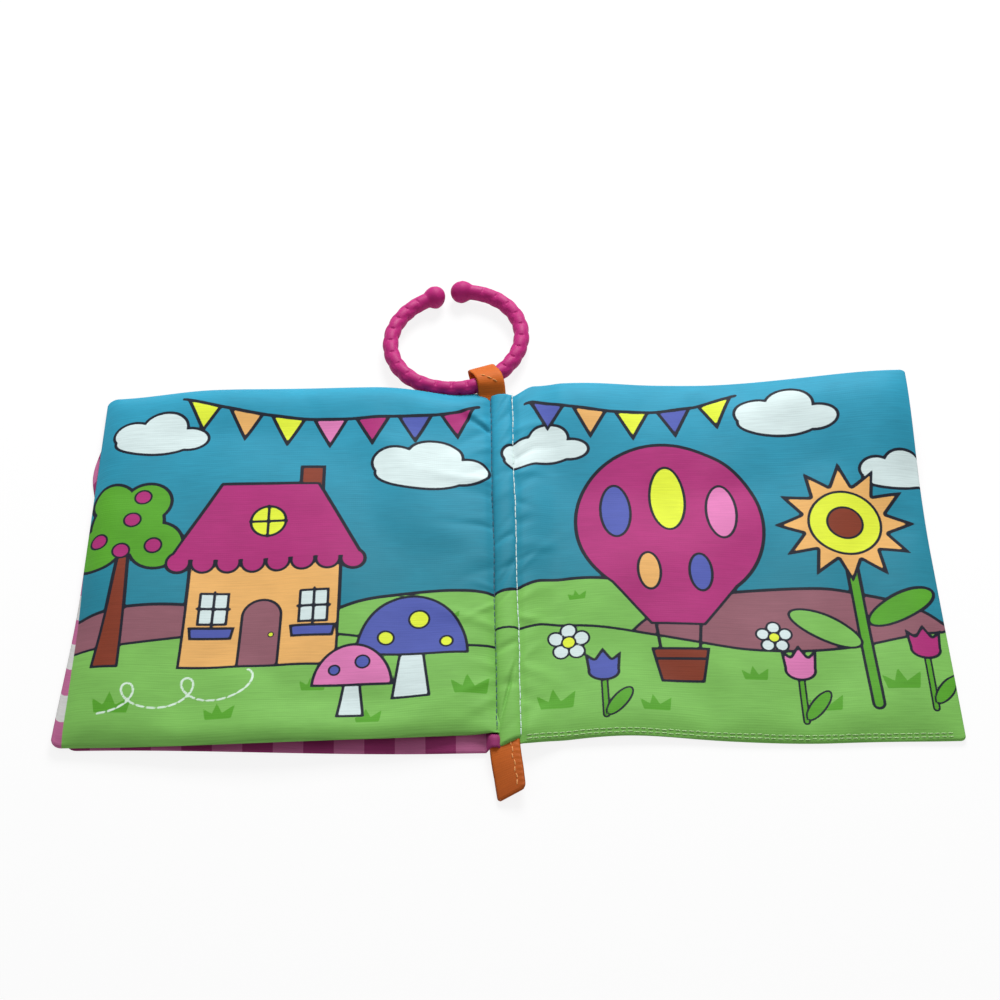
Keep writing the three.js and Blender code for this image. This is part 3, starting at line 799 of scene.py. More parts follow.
def woven_shade(tree, base, place, slub):
    """Darkens a colour a little along the slubs and in soft patches of about 18 mm, as printed cloth does."""
    patch = add_node(tree, "ShaderNodeTexNoise", {"Vector": place, "Scale": 55.0, "Detail": 3.0})
    shades = []
    for value, low, high in ((patch.outputs["Fac"], 0.93, 1.04), (slub, 0.94, 1.06)):
        span = {**NOISE_SPAN, "Value": value, "To Min": low, "To Max": high}
        shades.append(add_node(tree, "ShaderNodeMapRange", span).outputs[0])
    both = add_node(tree, "ShaderNodeMath", dict(enumerate(shades)), operation="MULTIPLY").outputs[0]
    grey = add_node(tree, "ShaderNodeCombineColor", {"Red": both, "Green": both, "Blue": both}).outputs[0]
    mix = {SHARE: 1.0, BELOW: base, ABOVE: grey}
    return add_node(tree, "ShaderNodeMix", mix, data_type="RGBA", blend_type="MULTIPLY").outputs[MIXED]


def gingham(tree, place, shift):
    """Two sets of even stripes on the shifted cloth: the ground, one stripe, or both where they cross."""
    check, tint = sizes().check, colours()
    moved = add_node(tree, "ShaderNodeMapping", {"Vector": place, "Location": shift}).outputs[0]
    parts = add_node(tree, "ShaderNodeSeparateXYZ", {0: moved})
    stripes = []
    for axis in ("X", "Y"):
        pair = {0: parts.outputs[axis], 1: 2 * check}
        step = add_node(tree, "ShaderNodeMath", pair, operation="FLOORED_MODULO").outputs[0]
        stripe = add_node(tree, "ShaderNodeMath", {0: step, 1: check}, operation="LESS_THAN")
        stripes.append(stripe.outputs[0])
    shown = opaque(tint.check_pale)
    for operation, tone in (("MAXIMUM", tint.check_mid), ("MULTIPLY", tint.check_dark)):
        share = add_node(tree, "ShaderNodeMath", dict(enumerate(stripes)), operation=operation).outputs[0]
        mix = {SHARE: share, BELOW: shown, ABOVE: opaque(tone)}
        shown = add_node(tree, "ShaderNodeMix", mix, data_type="RGBA").outputs[MIXED]
    return shown


def inside_ink(tree, name):
    """1 inside an ink's field and 0 outside, over the quarter millimetre that a print bleeds."""
    field = add_node(tree, "ShaderNodeAttribute", attribute_name=name).outputs["Fac"]
    span = {"Value": field, "From Min": 0.12, "From Max": -0.12, "To Min": 0.0, "To Max": 1.0}
    return add_node(tree, "ShaderNodeMapRange", span).outputs[0]


def woven_cloth(name, spacing, relief, gloss, dye):
    """The woven polyester of that name, made the first time: dye works out its colour from its place."""
    if name in bpy.data.materials:
        return bpy.data.materials[name]
    material, tree = new_material(name)
    place, slub, normal = cloth_weave(tree, spacing, relief)
    shown = woven_shade(tree, dye(tree, place), place, slub)
    finish = {"Roughness": 0.6, "Specular IOR Level": gloss, "Sheen Weight": 0.02}
    finish |= {"Base Color": shown, "Normal": normal}
    shader = add_node(tree, "ShaderNodeBsdfPrincipled", finish)
    add_node(tree, "ShaderNodeOutputMaterial", {"Surface": shader.outputs["BSDF"]})
    return material


def print_dye(tree, place):
    """A blue ground deepened towards the foot by painted shade, each ink over the last, and the rolled
    reverse cloth.
    """
    tint = colours()
    parts = add_node(tree, "ShaderNodeSeparateXYZ", {0: place})
    # Painted shade: up to 70 mm from the near edge the ground is the shaded blue, and by 150 mm it is the
    # plain sky.
    height = {"Value": parts.outputs["Y"], "From Min": 0.07, "From Max": 0.15}
    share = add_node(tree, "ShaderNodeMapRange", height).outputs[0]
    mix = {SHARE: share, BELOW: opaque(tint.sky_painted_shade), ABOVE: opaque(tint.sky)}
    shown = add_node(tree, "ShaderNodeMix", mix, data_type="RGBA").outputs[MIXED]
    layers = [("ink_" + ink, opaque(getattr(tint, ink))) for ink in INKS]
    layers.append(("reverse_cloth", gingham(tree, place, shift=(-0.005, 0.0015, 0))))
    for field, tone in layers:
        mix = {SHARE: inside_ink(tree, field), BELOW: shown, ABOVE: tone}
        shown = add_node(tree, "ShaderNodeMix", mix, data_type="RGBA").outputs[MIXED]
    return shown


def check_dye(tree, place):
    """Gingham: a whole stripe along the near edge and, on the front cover, most of one at its fore edge."""
    return gingham(tree, place, shift=(0.0041, 0, 0))


def ribbon_dye(tree, _):
    """Orange with painted shade, which deepens it towards the ribbon's end by the ribbon's own attribute."""
    wear_and_painted_shade = add_node(tree, "ShaderNodeAttribute", attribute_name="shade").outputs["Fac"]
    mix = {SHARE: wear_and_painted_shade, BELOW: opaque(colours().ribbon), ABOVE: opaque(colours().ribbon_painted_shade)}
    return add_node(tree, "ShaderNodeMix", mix, data_type="RGBA").outputs[MIXED]


def printed_cloth():
    """Woven polyester, heat-printed: satin-dull, with fine lines of the weave along the page."""
    # Real threads are about 0.25 mm apart: the weave is drawn at 0.95 mm so that it shows.
    return woven_cloth("printed polyester cloth", spacing=0.95, relief=0.08, gloss=0.13, dye=print_dye)


def gingham_cloth():
    """Woven polyester with a printed check, as the outside of the covers."""
    # The weave is drawn as coarse as in the printed cloth, so that it shows.
    return woven_cloth("gingham polyester cloth", spacing=0.95, relief=0.08, gloss=0.13, dye=check_dye)


def ribbon_cloth():
    """Polyester twill tape: close ribs across the ribbon and a soft sheen."""
    # Real ribs are about 0.4 mm apart: they are drawn at 0.8 mm so that they show.
    return woven_cloth("orange twill ribbon", spacing=0.8, relief=0.09, gloss=0.16, dye=ribbon_dye)


def moulded_plastic():
    """Injection-moulded polyethylene: even colour, soft gloss and a faint orange-peel skin."""
    material, tree = new_material("moulded magenta plastic")
    tint = colours().ring
    place = add_node(tree, "ShaderNodeTexCoord").outputs["Object"]
    # The peel is about 1 mm across and the duller patches about 7 mm.
    peel = add_node(tree, "ShaderNodeTexNoise", {"Vector": place, "Scale": 900.0, "Detail": 2.0})
    wear_and_painted_shade = add_node(tree, "ShaderNodeTexNoise", {"Vector": place, "Scale": 140.0, "Detail": 4.0})
    span = {**NOISE_SPAN, "Value": wear_and_painted_shade.outputs["Fac"]}
    rough = add_node(tree, "ShaderNodeMapRange", {**span, "To Min": 0.46, "To Max": 0.62})
    share = add_node(tree, "ShaderNodeMapRange", {**span, "To Min": 0.0, "To Max": 0.16})
    raised = {"Height": peel.outputs["Fac"], "Strength": 0.12, "Distance": 0.0002}
    lift = add_node(tree, "ShaderNodeBump", raised)
    mix = {SHARE: share.outputs[0], BELOW: opaque(tint), ABOVE: opaque([0.72 * v for v in tint])}
    base = add_node(tree, "ShaderNodeMix", mix, data_type="RGBA").outputs[MIXED]
    finish = {"Roughness": rough.outputs[0], "IOR": 1.5, "Specular IOR Level": 0.22}
    finish |= {"Base Color": base, "Normal": lift.outputs["Normal"]}
    shader = add_node(tree, "ShaderNodeBsdfPrincipled", finish)
    add_node(tree, "ShaderNodeOutputMaterial", {"Surface": shader.outputs["BSDF"]})
    return material


def sewing_thread(name):
    """Spun polyester thread, made the first time: a dull twisted strand, a little darker in the grooves
    between its plies by painted shade.
    """
    if name in bpy.data.materials:
        return bpy.data.materials[name]
    material, tree = new_material(name)
    tint = getattr(colours(), name.replace(" ", "_"))
    place = add_node(tree, "ShaderNodeTexCoord").outputs["Object"]
    # Real plies are about 0.2 mm apart: they are drawn at 0.45 mm so that they show.
    wave = {"Vector": place, "Scale": WAVE_REPEAT / (0.45 * MM), "Distortion": 0.6}
    twist = add_node(tree, "ShaderNodeTexWave", wave, bands_direction="DIAGONAL").outputs["Fac"]
    lift = add_node(tree, "ShaderNodeBump", {"Height": twist, "Strength": 0.4, "Distance": 0.0001})
    # Painted shade: where the twist is low, in the grooves of the bump, the colour is up to about a tenth
    # darker.
    share = add_node(tree, "ShaderNodeMapRange", {"Value": twist, "To Min": 0.35, "To Max": 0.0})
    mix = {SHARE: share.outputs[0], BELOW: opaque(tint), ABOVE: opaque([0.7 * v for v in tint])}
    base = add_node(tree, "ShaderNodeMix", mix, data_type="RGBA").outputs[MIXED]
    finish = {"Roughness": 0.7, "Sheen Weight": 0.25, "Sheen Roughness": 0.5}
    finish |= {"Base Color": base, "Normal": lift.outputs["Normal"]}
    shader = add_node(tree, "ShaderNodeBsdfPrincipled", finish)
    add_node(tree, "ShaderNodeOutputMaterial", {"Surface": shader.outputs["BSDF"]})
    return material


# Pieces


def put_print(piece, inks, reverse):
    """Gives a piece its ink fields and the field of the reverse cloth that rolls over its edge."""
    for ink, field in inks.items():
        set_value(piece, "ink_" + ink, both_faces(field))
    set_value(piece, "reverse_cloth", both_faces(reverse))


# Grid lines and upper points of each finished leaf, for the stitches that lie on it
LAID = {}


def on_leaf(name, reach, cross):
    """Points of a finished leaf's upper side: each lies evenly between the four grid points round it."""
    reach_lines, cross_lines, over = LAID[name]
    column = np.clip(np.searchsorted(reach_lines, reach) - 1, 0, len(reach_lines) - 2)
    row = np.clip(np.searchsorted(cross_lines, cross) - 1, 0, len(cross_lines) - 2)
    u = ((reach - reach_lines[column]) / (reach_lines[column + 1] - reach_lines[column]))[:, None]
    v = ((cross - cross_lines[row]) / (cross_lines[row + 1] - cross_lines[row]))[:, None]
    lower = over[row, column] * (1 - u) + over[row, column + 1] * u
    upper = over[row + 1, column] * (1 - u) + over[row + 1, column + 1] * u
    return lower * (1 - v) + upper * v


def leaf_piece(name, form, side, pitch, materials, seed):
    """A padded leaf on its grid: side is -1 for a leaf at the left of the spine."""
    reach_lines = edge_lines(-TONGUE, LEAF_WIDTH, pitch)[::side]
    cross_lines = edge_lines(-LEAF_HALF, LEAF_HALF, pitch)
    reach, cross = np.meshgrid(reach_lines, cross_lines)
    moved = settled(form, reach_lines, cross_lines, seed)
    over, under = leaf_points(reach, cross, form, moved)
    LAID[name] = reach_lines[::side], cross_lines, over[:, ::side]
    piece = closed_leaf(name, over, under, materials)
    set_cloth_map(piece, both_faces(side * reach), both_faces(cross + LEAF_HALF))
    return piece, reach, cross


class CLOTHBOOK_OT_left_page(Operator):
    """The printed page at the left, sewn into the spine"""

    bl_idname = "cloth_book.left_page"
    bl_label = "Left page"

    def execute(self, context):
        cloths = [printed_cloth(), gingham_cloth()]
        piece, reach, cross = leaf_piece("left_page", left_page_form, -1, PRINT_PITCH, cloths, seed=61)
        x, y = LEAF_WIDTH - reach, cross + LEAF_HALF
        # The reverse cloth rolls round the fore edge, up to 5 mm of it towards the foot.
        rolled = x - 5.0 * (1 - smooth_step(y, -25, 96)) + 0.3
        put_print(piece, left_print(x, y), rolled)
        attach(piece, "leaf_and_spine")
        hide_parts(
            "middle_leaf_upper_panel",
            "middle_leaf_wadding",
            "middle_leaf_crinkle_film",
            "middle_leaf_lower_panel",
        )
        return {"FINISHED"}


class CLOTHBOOK_OT_front_cover(Operator):
    """The gingham leaf under the left page"""

    bl_idname = "cloth_book.front_cover"
    bl_label = "Front cover"

    def execute(self, context):
        cloths = [gingham_cloth(), gingham_cloth()]
        piece, _, _ = leaf_piece("front_leaf", front_cover_form, -1, PLAIN_PITCH, cloths, seed=62)
        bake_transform(piece)
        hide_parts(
            "front_cover_inner_panel",
            "front_cover_wadding",
            "front_cover_crinkle_film",
            "front_cover_outer_panel",
        )
        return {"FINISHED"}


class CLOTHBOOK_OT_right_page(Operator):
    """The printed page at the right, which is the back cover"""

    bl_idname = "cloth_book.right_page"
    bl_label = "Right page"

    def execute(self, context):
        cloths = [printed_cloth(), gingham_cloth()]
        piece, reach, cross = leaf_piece("right_page", right_page_form, 1, PRINT_PITCH, cloths, seed=63)
        put_print(piece, right_print(reach, cross + LEAF_HALF), np.full(reach.shape, NO_INK))
        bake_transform(piece)
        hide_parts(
            "back_cover_inner_panel",
            "back_cover_wadding",
            "back_cover_crinkle_film",
            "back_cover_outer_panel",
        )
        return {"FINISHED"}


def strip_ends(x):
    """Near and far end of the spine strip: the near one slants, and runs out past the left page."""
    return -79.4 + 0.5 * x, 77.4 + 0.05 * x


def strip_top(x, y):
    """Level of the puffy spine strip: a low arch, 20 slanting wrinkles and one deep fold by its near end."""
    arch = 1 - np.abs(x / STRIP_HALF) ** 2.4
    crease = np.zeros_like(x)
    pick = np.random.default_rng(31)
    for place in np.linspace(-72, 72, 20) + pick.normal(0, 2.0, 20):
        slant = pick.normal(1.3, 0.9)
        crease += pick.uniform(-0.9, 0.5) * bump(y - slant * x, place, pick.uniform(1.0, 2.6))
    fold = bump(x - 1.4 - 0.24 * (y + 52), 0, 0.5) * bump(y, -60, 10)
    waves = 0.25 * ripples(x, y, wave=26, seed=17)
    return 3.9 + 1.7 * arch + 0.8 * crease * (0.3 + 0.7 * arch) + waves - 1.3 * fold


def strip_points(x, share):
    """Upper and lower points of the strip, which is rounded at its edges: share is 0 at its near end."""
    near, far = strip_ends(x)
    y = near + (far - near) * share
    edge = np.minimum.reduce([STRIP_HALF - np.abs(x), y - near, far - y])
    lip = np.sqrt(1 - (1 - np.clip(edge / STRIP_ROUND, 0, 1)) ** 2)
    level = STRIP_EDGE_LEVEL * (1 - lip)
    return np.stack([x, y, level + strip_top(x, y) * lip], -1), np.stack([x, y, level + 0.02], -1)


class CLOTHBOOK_OT_spine(Operator):
    """The padded spine, with the right page's print over it and gingham under it"""

    bl_idname = "cloth_book.spine"
    bl_label = "Spine"

    def execute(self, context):
        across = edge_lines(-STRIP_HALF, STRIP_HALF, STRIP_PITCH[0])
        x, run = np.meshgrid(across, edge_lines(0, STRIP_LENGTH, STRIP_PITCH[1]))
        over, under = strip_points(x, run / STRIP_LENGTH)
        piece = closed_leaf("spine_roll", over, under, [printed_cloth(), gingham_cloth()])
        y = over[..., 1]
        set_cloth_map(piece, both_faces(x), both_faces(y + LEAF_HALF))
        near, far = page_ends(right_page_form)
        flat_y = (y - near) / (far - near) * 2 * LEAF_HALF
        put_print(piece, right_print(x - SPINE_HALF, flat_y), np.full(x.shape, NO_INK))
        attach(piece, "leaf_and_spine")
        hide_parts("spine_inner_strip", "spine_wadding", "spine_outer_strip")
        return {"FINISHED"}


def along_line(line, spacing):
    """Even steps along a line of points: their places and directions."""
    run = np.concatenate([[0], np.cumsum(np.linalg.norm(np.diff(line, axis=0), axis=1))])
    steps = np.arange(spacing / 2, run[-1], spacing)
    place = np.stack([np.interp(steps, run, line[:, k]) for k in range(3)], -1)
    ahead = np.stack([np.interp(steps + 0.3, run, line[:, k]) for k in range(3)], -1)
    behind = np.stack([np.interp(steps - 0.3, run, line[:, k]) for k in range(3)], -1)
    way = ahead - behind
    return place, way / np.linalg.norm(way, axis=1, keepdims=True)


def stitch_points(line, pitch, filled, thick, seed):
    """Stitches along a line: each is a short spindle that fills a share of the pitch, and its ends dip in."""
    place, way = along_line(line, pitch)
    pick = np.random.default_rng(seed)
    side = np.cross(way, [0.0, 0.0, 1.0])
    side /= np.linalg.norm(side, axis=1, keepdims=True)
    rise = np.cross(side, way)
    place = place + side * pick.normal(0, 0.07, (len(place), 1))
    reach = np.linspace(-1, 1, 7)[None, :, None, None]
    turn = np.linspace(0, math.tau, 7)[:-1][None, None, :, None]
    swell = np.sqrt(np.clip(1 - np.abs(reach) ** 3, 0, 1))
    stretch = (pick.uniform(0.9, 1.06, len(place)) * pitch * filled / 2)[:, None, None, None]
    centre = place[:, None, None, :] + way[:, None, None, :] * reach * stretch
    round_it = side[:, None, None, :] * np.cos(turn) + rise[:, None, None, :] * np.sin(turn)
    dip = rise[:, None, None, :] * (-0.45 * thick * reach**2)
    points = centre + round_it * swell * thick / 2 + dip
    count, rings, corners = points.shape[:3]
    index = np.arange(count * rings * corners).reshape(count, rings, corners)
    index = np.concatenate([index, index[:, :, :1]], 2)
    faces = np.concatenate([cells(one) for one in index])
    return points.reshape(-1, 3), faces


class CLOTHBOOK_OT_stitching(Operator):
    """The rows of stitches along the spine, in the crease and along the near hem"""

    bl_idname = "cloth_book.stitching"
    bl_label = "Stitching"

    def execute(self, context):
        size = sizes()
        pitch, thick = size.stitch / MM, size.thread / MM
        rows = [
            ("spine_top_stitches", "spine_white_stitching", SPINE_HALF - 0.1, "white thread", "white_thread"),
            ("crease_stitches", "crease_stitching", -SPINE_HALF - 0.15, "crease thread", "dark_blue_thread"),
        ]
        # Each row lies on the strip or on the page beside it, whichever is higher.
        for seed, (name, node, x, thread, slot) in enumerate(rows, 41):
            share = np.linspace(0.006, 0.992, 300)
            line, _ = strip_points(x + 0.12 * np.sin(share * 18 + seed), share)
            if x > 0:
                page = on_leaf("right_page", line[:, 0] - SPINE_HALF, line[:, 1])
                line[:, 2] = np.maximum(line[:, 2], page[:, 2]) + 0.12
                filled, wide = 1.2, 0.9 * thick
            else:
                near, far = page_ends(left_page_form)
                cross = ((line[:, 1] - near) / (far - near) * 2 - 1) * LEAF_HALF
                page = on_leaf("left_page", -line[:, 0] - SPINE_HALF, cross)
                on_page = np.abs(cross) < LEAF_HALF - 1.2
                line[:, 2] = np.where(on_page, np.maximum(line[:, 2], page[:, 2]), line[:, 2]) + 0.15
                filled, wide = 1.02, 0.7 * thick
            points, faces = stitch_points(line, pitch, filled, wide, seed)
            piece = make_piece(name, points, faces, [sewing_thread(thread)], weld=True)
            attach(piece, "leaf_and_spine")
            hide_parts(node)
        lines = []
        for inset, seed in ((1.3, 51), (2.6, 52)):
            reach = np.linspace(1.5, LEAF_WIDTH - 4, 400)
            over = on_leaf("right_page", reach, np.full_like(reach, -LEAF_HALF + inset))
            over[:, 2] += 0.08
            lines.append(stitch_points(over, pitch=2.4, filled=1.0, thick=0.8 * thick, seed=seed))
        points = np.concatenate([line[0] for line in lines])
        faces = np.concatenate([lines[0][1], lines[1][1] + len(lines[0][0])])
        hem = make_piece("near_hem_stitches", points, faces, [sewing_thread("hem thread")], weld=True)
        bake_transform(hem)
        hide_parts("back_cover_hem_stitching")
        return {"FINISHED"}


def ribbon_place(run, rise, wide, lie):
    """Points of a ribbon from how far out, how high and how far across they are.

    lie gives its place, the angles about the upright at its root and at BEND_OUT, the shear along its run at
    its root and at ROLL_OUT, how far it has rolled about its own run there, the run at which its corners are
    round, and the height of the small gathers beyond its row of stitches.
    """
    share = np.clip(run / ROLL_OUT, 0, 1)
    first, last = lie["angles"]
    angle = first + (last - first) * np.clip(run / BEND_OUT, 0, 1)
    first, last = lie["shear"]
    limit = sizes().ribbon_width / MM / 2 - corner_drop(lie["tip"] - run, 1.9)
    wide = np.clip(wide, -limit, limit)
    sheared = run + wide * (first + (last - first) * share) * (run > -1)
    gathered = smooth_step(-wide, 2.6, 3.8) * np.sin(run * math.tau / 2.3 + 1.8 * wide)
    rise = rise + lie["gathers"] * gathered * smooth_step(run, 0, 2)
    rise = rise - wide * np.sin(lie["roll"] * share)
    wide = wide * np.cos(lie["roll"] * share)
    x = lie["place"][0] + wide * np.cos(angle) - sheared * np.sin(angle)
    y = lie["place"][1] + wide * np.sin(angle) + sheared * np.cos(angle)
    return np.stack([x, y, lie["place"][2] + rise], -1)


def ribbon_piece(name, path, lie, shade):
    """A ribbon with rounded selvedges carried along a path of (run, rise) points, and its flat length."""
    width, thick = sizes().ribbon_width / MM, sizes().ribbon_thickness / MM
    step = np.gradient(path, axis=0)
    step /= np.linalg.norm(step, axis=1, keepdims=True)
    out = np.stack([-step[:, 1], step[:, 0]], -1)
    across = np.linspace(-0.5, 0.5, 17) * width
    round_edge = np.sqrt(np.clip(1 - (np.abs(across) / (width / 2)) ** 24, 0, 1))
    section_across = np.concatenate([across, across[-2:0:-1]])
    section_out = np.concatenate([round_edge, -round_edge[-2:0:-1]]) * thick / 2
    run = path[:, :1] + out[:, :1] * section_out
    rise = path[:, 1:] + out[:, 1:] * section_out
    wide = np.broadcast_to(section_across, run.shape)
    points = ribbon_place(run, rise, wide, lie)
    rows, corners = run.shape
    index = np.arange(rows * corners).reshape(rows, corners)
    body = cells(np.concatenate([index, index[:, :1]], 1))
    half = len(across)
    upper = np.arange(half)
    lower = np.concatenate([[0], np.arange(corners - 1, half - 1, -1), [half - 1]])
    strip = np.stack([upper[:-1], upper[1:], lower[1:], lower[:-1]], -1).tolist()
    lid = [list(dict.fromkeys(face)) for face in strip]
    end = (rows - 1) * corners
    lids = lid + [[corner + end for corner in face[::-1]] for face in lid]
    piece = make_piece(name, points.reshape(-1, 3), body[:, ::-1].tolist() + lids, [ribbon_cloth()])
    length_on = np.concatenate([[0], np.cumsum(np.linalg.norm(np.diff(path, axis=0), axis=1))])
    set_cloth_map(piece, wide.ravel(), np.repeat(length_on, corners))
    # Painted shade: the colour deepens from the root out to ROLL_OUT, up to the given share, as if the end
    # lay in shade.
    set_value(piece, "shade", np.clip(run / ROLL_OUT, 0, 1).ravel() * shade)
    return piece, length_on[-1]


def eased(path, count, passes):
    """A line through corner points, in even steps, with its corners eased by repeated averaging."""
    path = np.asarray(path, float)
    run = np.concatenate([[0], np.cumsum(np.linalg.norm(np.diff(path, axis=0), axis=1))])
    steps = np.linspace(0, run[-1], count)
    line = np.stack([np.interp(steps, run, path[:, k]) for k in range(path.shape[1])], -1)
    for _ in range(passes):
        line[1:-1] = (line[:-2] + 2 * line[1:-1] + line[2:]) / 4
    return line


def joint_place(name):
    """A joint's point in millimetres."""
    found = next(j for j in frame["joints"] if j["name"] == name)
    return np.array(found["pos_m"]) / MM


class CLOTHBOOK_OT_ribbon_loop(Operator):
    """The ribbon loop at the head of the spine, sewn in at both ends and wrapped round the ring"""

    bl_idname = "cloth_book.ribbon_loop"
    bl_label = "Ribbon loop"

    def execute(self, context):
        root = joint_place("ring_loop_hinge")
        centre, around = (6.9, 0.75), 4.0
        turn = np.linspace(2.35, -2.35, 40)
        slack = around + np.where(np.cos(turn) > 0, 3.6, 1.7)
        pinch = 1 - 0.35 * np.maximum(np.cos(turn), 0)
        arc = np.stack([centre[0] + slack * np.cos(turn), centre[1] + around * pinch * np.sin(turn)], -1)
        upper = [(-SEWN_IN, -1.2), (-3.6, -1.1), (-0.3, 0.35)]
        lower = [(-0.3, -0.5), (-3.6, -1.9), (-SEWN_IN, -1.9)]
        path = eased([*upper, *arc.tolist(), *lower], count=120, passes=5)
        lie = {"place": root + [-0.5, 0, 0], "angles": (math.radians(3), math.radians(18))}
        lie |= {"shear": (0, 0), "roll": 0, "tip": 40, "gathers": 0}
        # The loop gets a fifth of the painted shade towards its end.
        piece, run = ribbon_piece("head_ribbon_loop", path, lie, shade=0.2)
        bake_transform(piece)
        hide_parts("ring_loop", "ring_loop_tail")
        out = np.linspace(7.8, 2.8, 60)
        top = path[: int(np.argmax(path[:, 0]))]
        rise = np.interp(out, top[:, 0], top[:, 1]) + 0.45
        line = ribbon_place(out, rise, np.linspace(-3.0, 3.4, 60), lie)
        points, faces = stitch_points(line, pitch=2.6, filled=1.0, thick=0.5, seed=72)
        stitches = make_piece("loop_stitches", points, faces, [sewing_thread("tab thread")], weld=True)
        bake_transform(stitches)
        return {"FINISHED"}


class CLOTHBOOK_OT_clip_ring(Operator):
    """The open plastic ring with a ball on each side of its mouth"""

    bl_idname = "cloth_book.clip_ring"
    bl_label = "Clip ring"

    def execute(self, context):
        size = sizes()
        radius, tube, ball = size.ring_radius / MM, size.ring_tube / MM / 2, size.ring_ball / MM / 2
        centre = joint_place("ring_turn")
        mouth = 2 * math.asin((2 * ball + RING_MOUTH) / 2 / radius)
        rod = (math.tau - mouth) * radius
        ends = ball * np.cos(np.linspace(math.pi, math.pi / 2, 12))
        run = np.concatenate([ends, np.linspace(0, rod, 520)[1:-1], rod - ends[::-1]])
        turn = np.linspace(0, math.tau, 49)[:-1]
        along, about = np.meshgrid(run, turn, indexing="ij")
        from_end = np.minimum(along, rod - along)
        sphere = np.sqrt(np.clip(ball * ball - from_end * from_end, 0, None))
        # Raised pads in rows round the rod, each row half a pad on from the next, with notches between.
        spacing = math.tau / PAD_ROWS
        row = np.floor(about / spacing + 0.5)
        beside = 0.5 - np.abs(about / spacing + 0.5 - row - 0.5)
        step = along / (rod / PADS_IN_ROW) + 0.5 * (row % 2)
        ahead = 0.5 - np.abs(step - np.floor(step) - 0.5)
        pads = smooth_step(ahead, 0, 0.42) * (0.6 + 0.4 * smooth_step(beside, 0, 0.2))
        notch = (1 - smooth_step(ahead, 0.02, 0.11)) * smooth_step(beside, 0.2, 0.4)
        ribbed = smooth_step(from_end, 6, 11)
        rod_radius = tube - 0.1 + ribbed * (0.28 * (pads - 0.5) - 0.4 * notch)
        thick = np.where(from_end < 0, sphere, (rod_radius**5 + sphere**5) ** 0.2)
        # Its line is nearly a circle: a little oval, fuller at the left and where the ribbon holds it.
        angle = math.radians(98.5) + mouth / 2 + along / radius
        bent = 0.03 * radius * np.maximum(np.cos(angle - math.radians(205)), 0) - 0.4 * bump(along, 0, 14)
        bent = bent + 1.1 * np.cos(2 * (angle - math.radians(37)))
        bent = bent + 0.55 * bump(angle, math.radians(284), 0.35)
        out = radius + bent + thick * np.cos(about)
        points = np.stack([out * np.cos(angle), out * np.sin(angle), thick * np.sin(about)], -1) + centre
        rows, corners = along.shape
        index = np.arange(rows * corners).reshape(rows, corners)
        faces = cells(np.concatenate([index, index[:, :1]], 1))
        piece = make_piece("clip_ring", points.reshape(-1, 3), faces, [moulded_plastic()], weld=True)
        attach(piece, "ring")
        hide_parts("toy_link_ring")
        return {"FINISHED"}


class CLOTHBOOK_OT_pull_tab(Operator):
    """The folded ribbon at the foot of the spine, with its rows of stitches"""

    bl_idname = "cloth_book.pull_tab"
    bl_label = "Pull tab"

    def execute(self, context):
        root = joint_place("pull_tab_hinge")
        run = np.linspace(0, 20.4, 30)
        droop = -1.0 * smooth_step(run, -3, 17)
        upper = np.stack([run, droop + 0.42], -1).tolist()
        lower = np.stack([run, droop - 0.42], -1)[::-1].tolist()
        first, last = [(-SEWN_IN, -2.4), (-2.4, -2.2)], [(-2.4, -3.0), (-SEWN_IN, -3.1)]
        path = eased([*first, *upper, (21.0, -1.0), *lower, *last], count=176, passes=3)
        lie = {"place": root + [-0.9, -0.4, 0], "angles": (math.radians(183), math.radians(186))}
        lie |= {"shear": (0.2, 0.24), "roll": math.radians(21), "tip": 21, "gathers": 0.09}
        # The pull tab gets the full painted shade towards its end.
        piece, length_on = ribbon_piece("foot_pull_tab", path, lie, shade=1.0)
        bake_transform(piece)
        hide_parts("pull_tab", "pull_tab_tail")
        row = np.linspace(0.6, 19.6, 120)
        level = -1.0 * smooth_step(row, -3, 17) + 0.42 + 0.42
        wide = -2.2 + 0.22 * np.sin(1.1 * row) - 0.02 * row
        line = ribbon_place(row, level, wide, lie)
        points, faces = stitch_points(line, pitch=2.6, filled=0.95, thick=0.45, seed=71)
        stitches = make_piece("tab_stitches", points, faces, [sewing_thread("tab thread")], weld=True)
        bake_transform(stitches)
        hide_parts("pull_tab_stitching")
        return {"FINISHED"}


def shown_ray(tree):
    """1 for a ray that shows the background: from the camera, a reflection or a see-through part."""
    ray = add_node(tree, "ShaderNodeLightPath")
    found = ray.outputs["Is Camera Ray"]
    for name in ("Is Glossy Ray", "Is Transmission Ray"):
        pair = {0: found, 1: ray.outputs[name]}
        found = add_node(tree, "ShaderNodeMath", pair, operation="MAXIMUM").outputs[0]
    return found


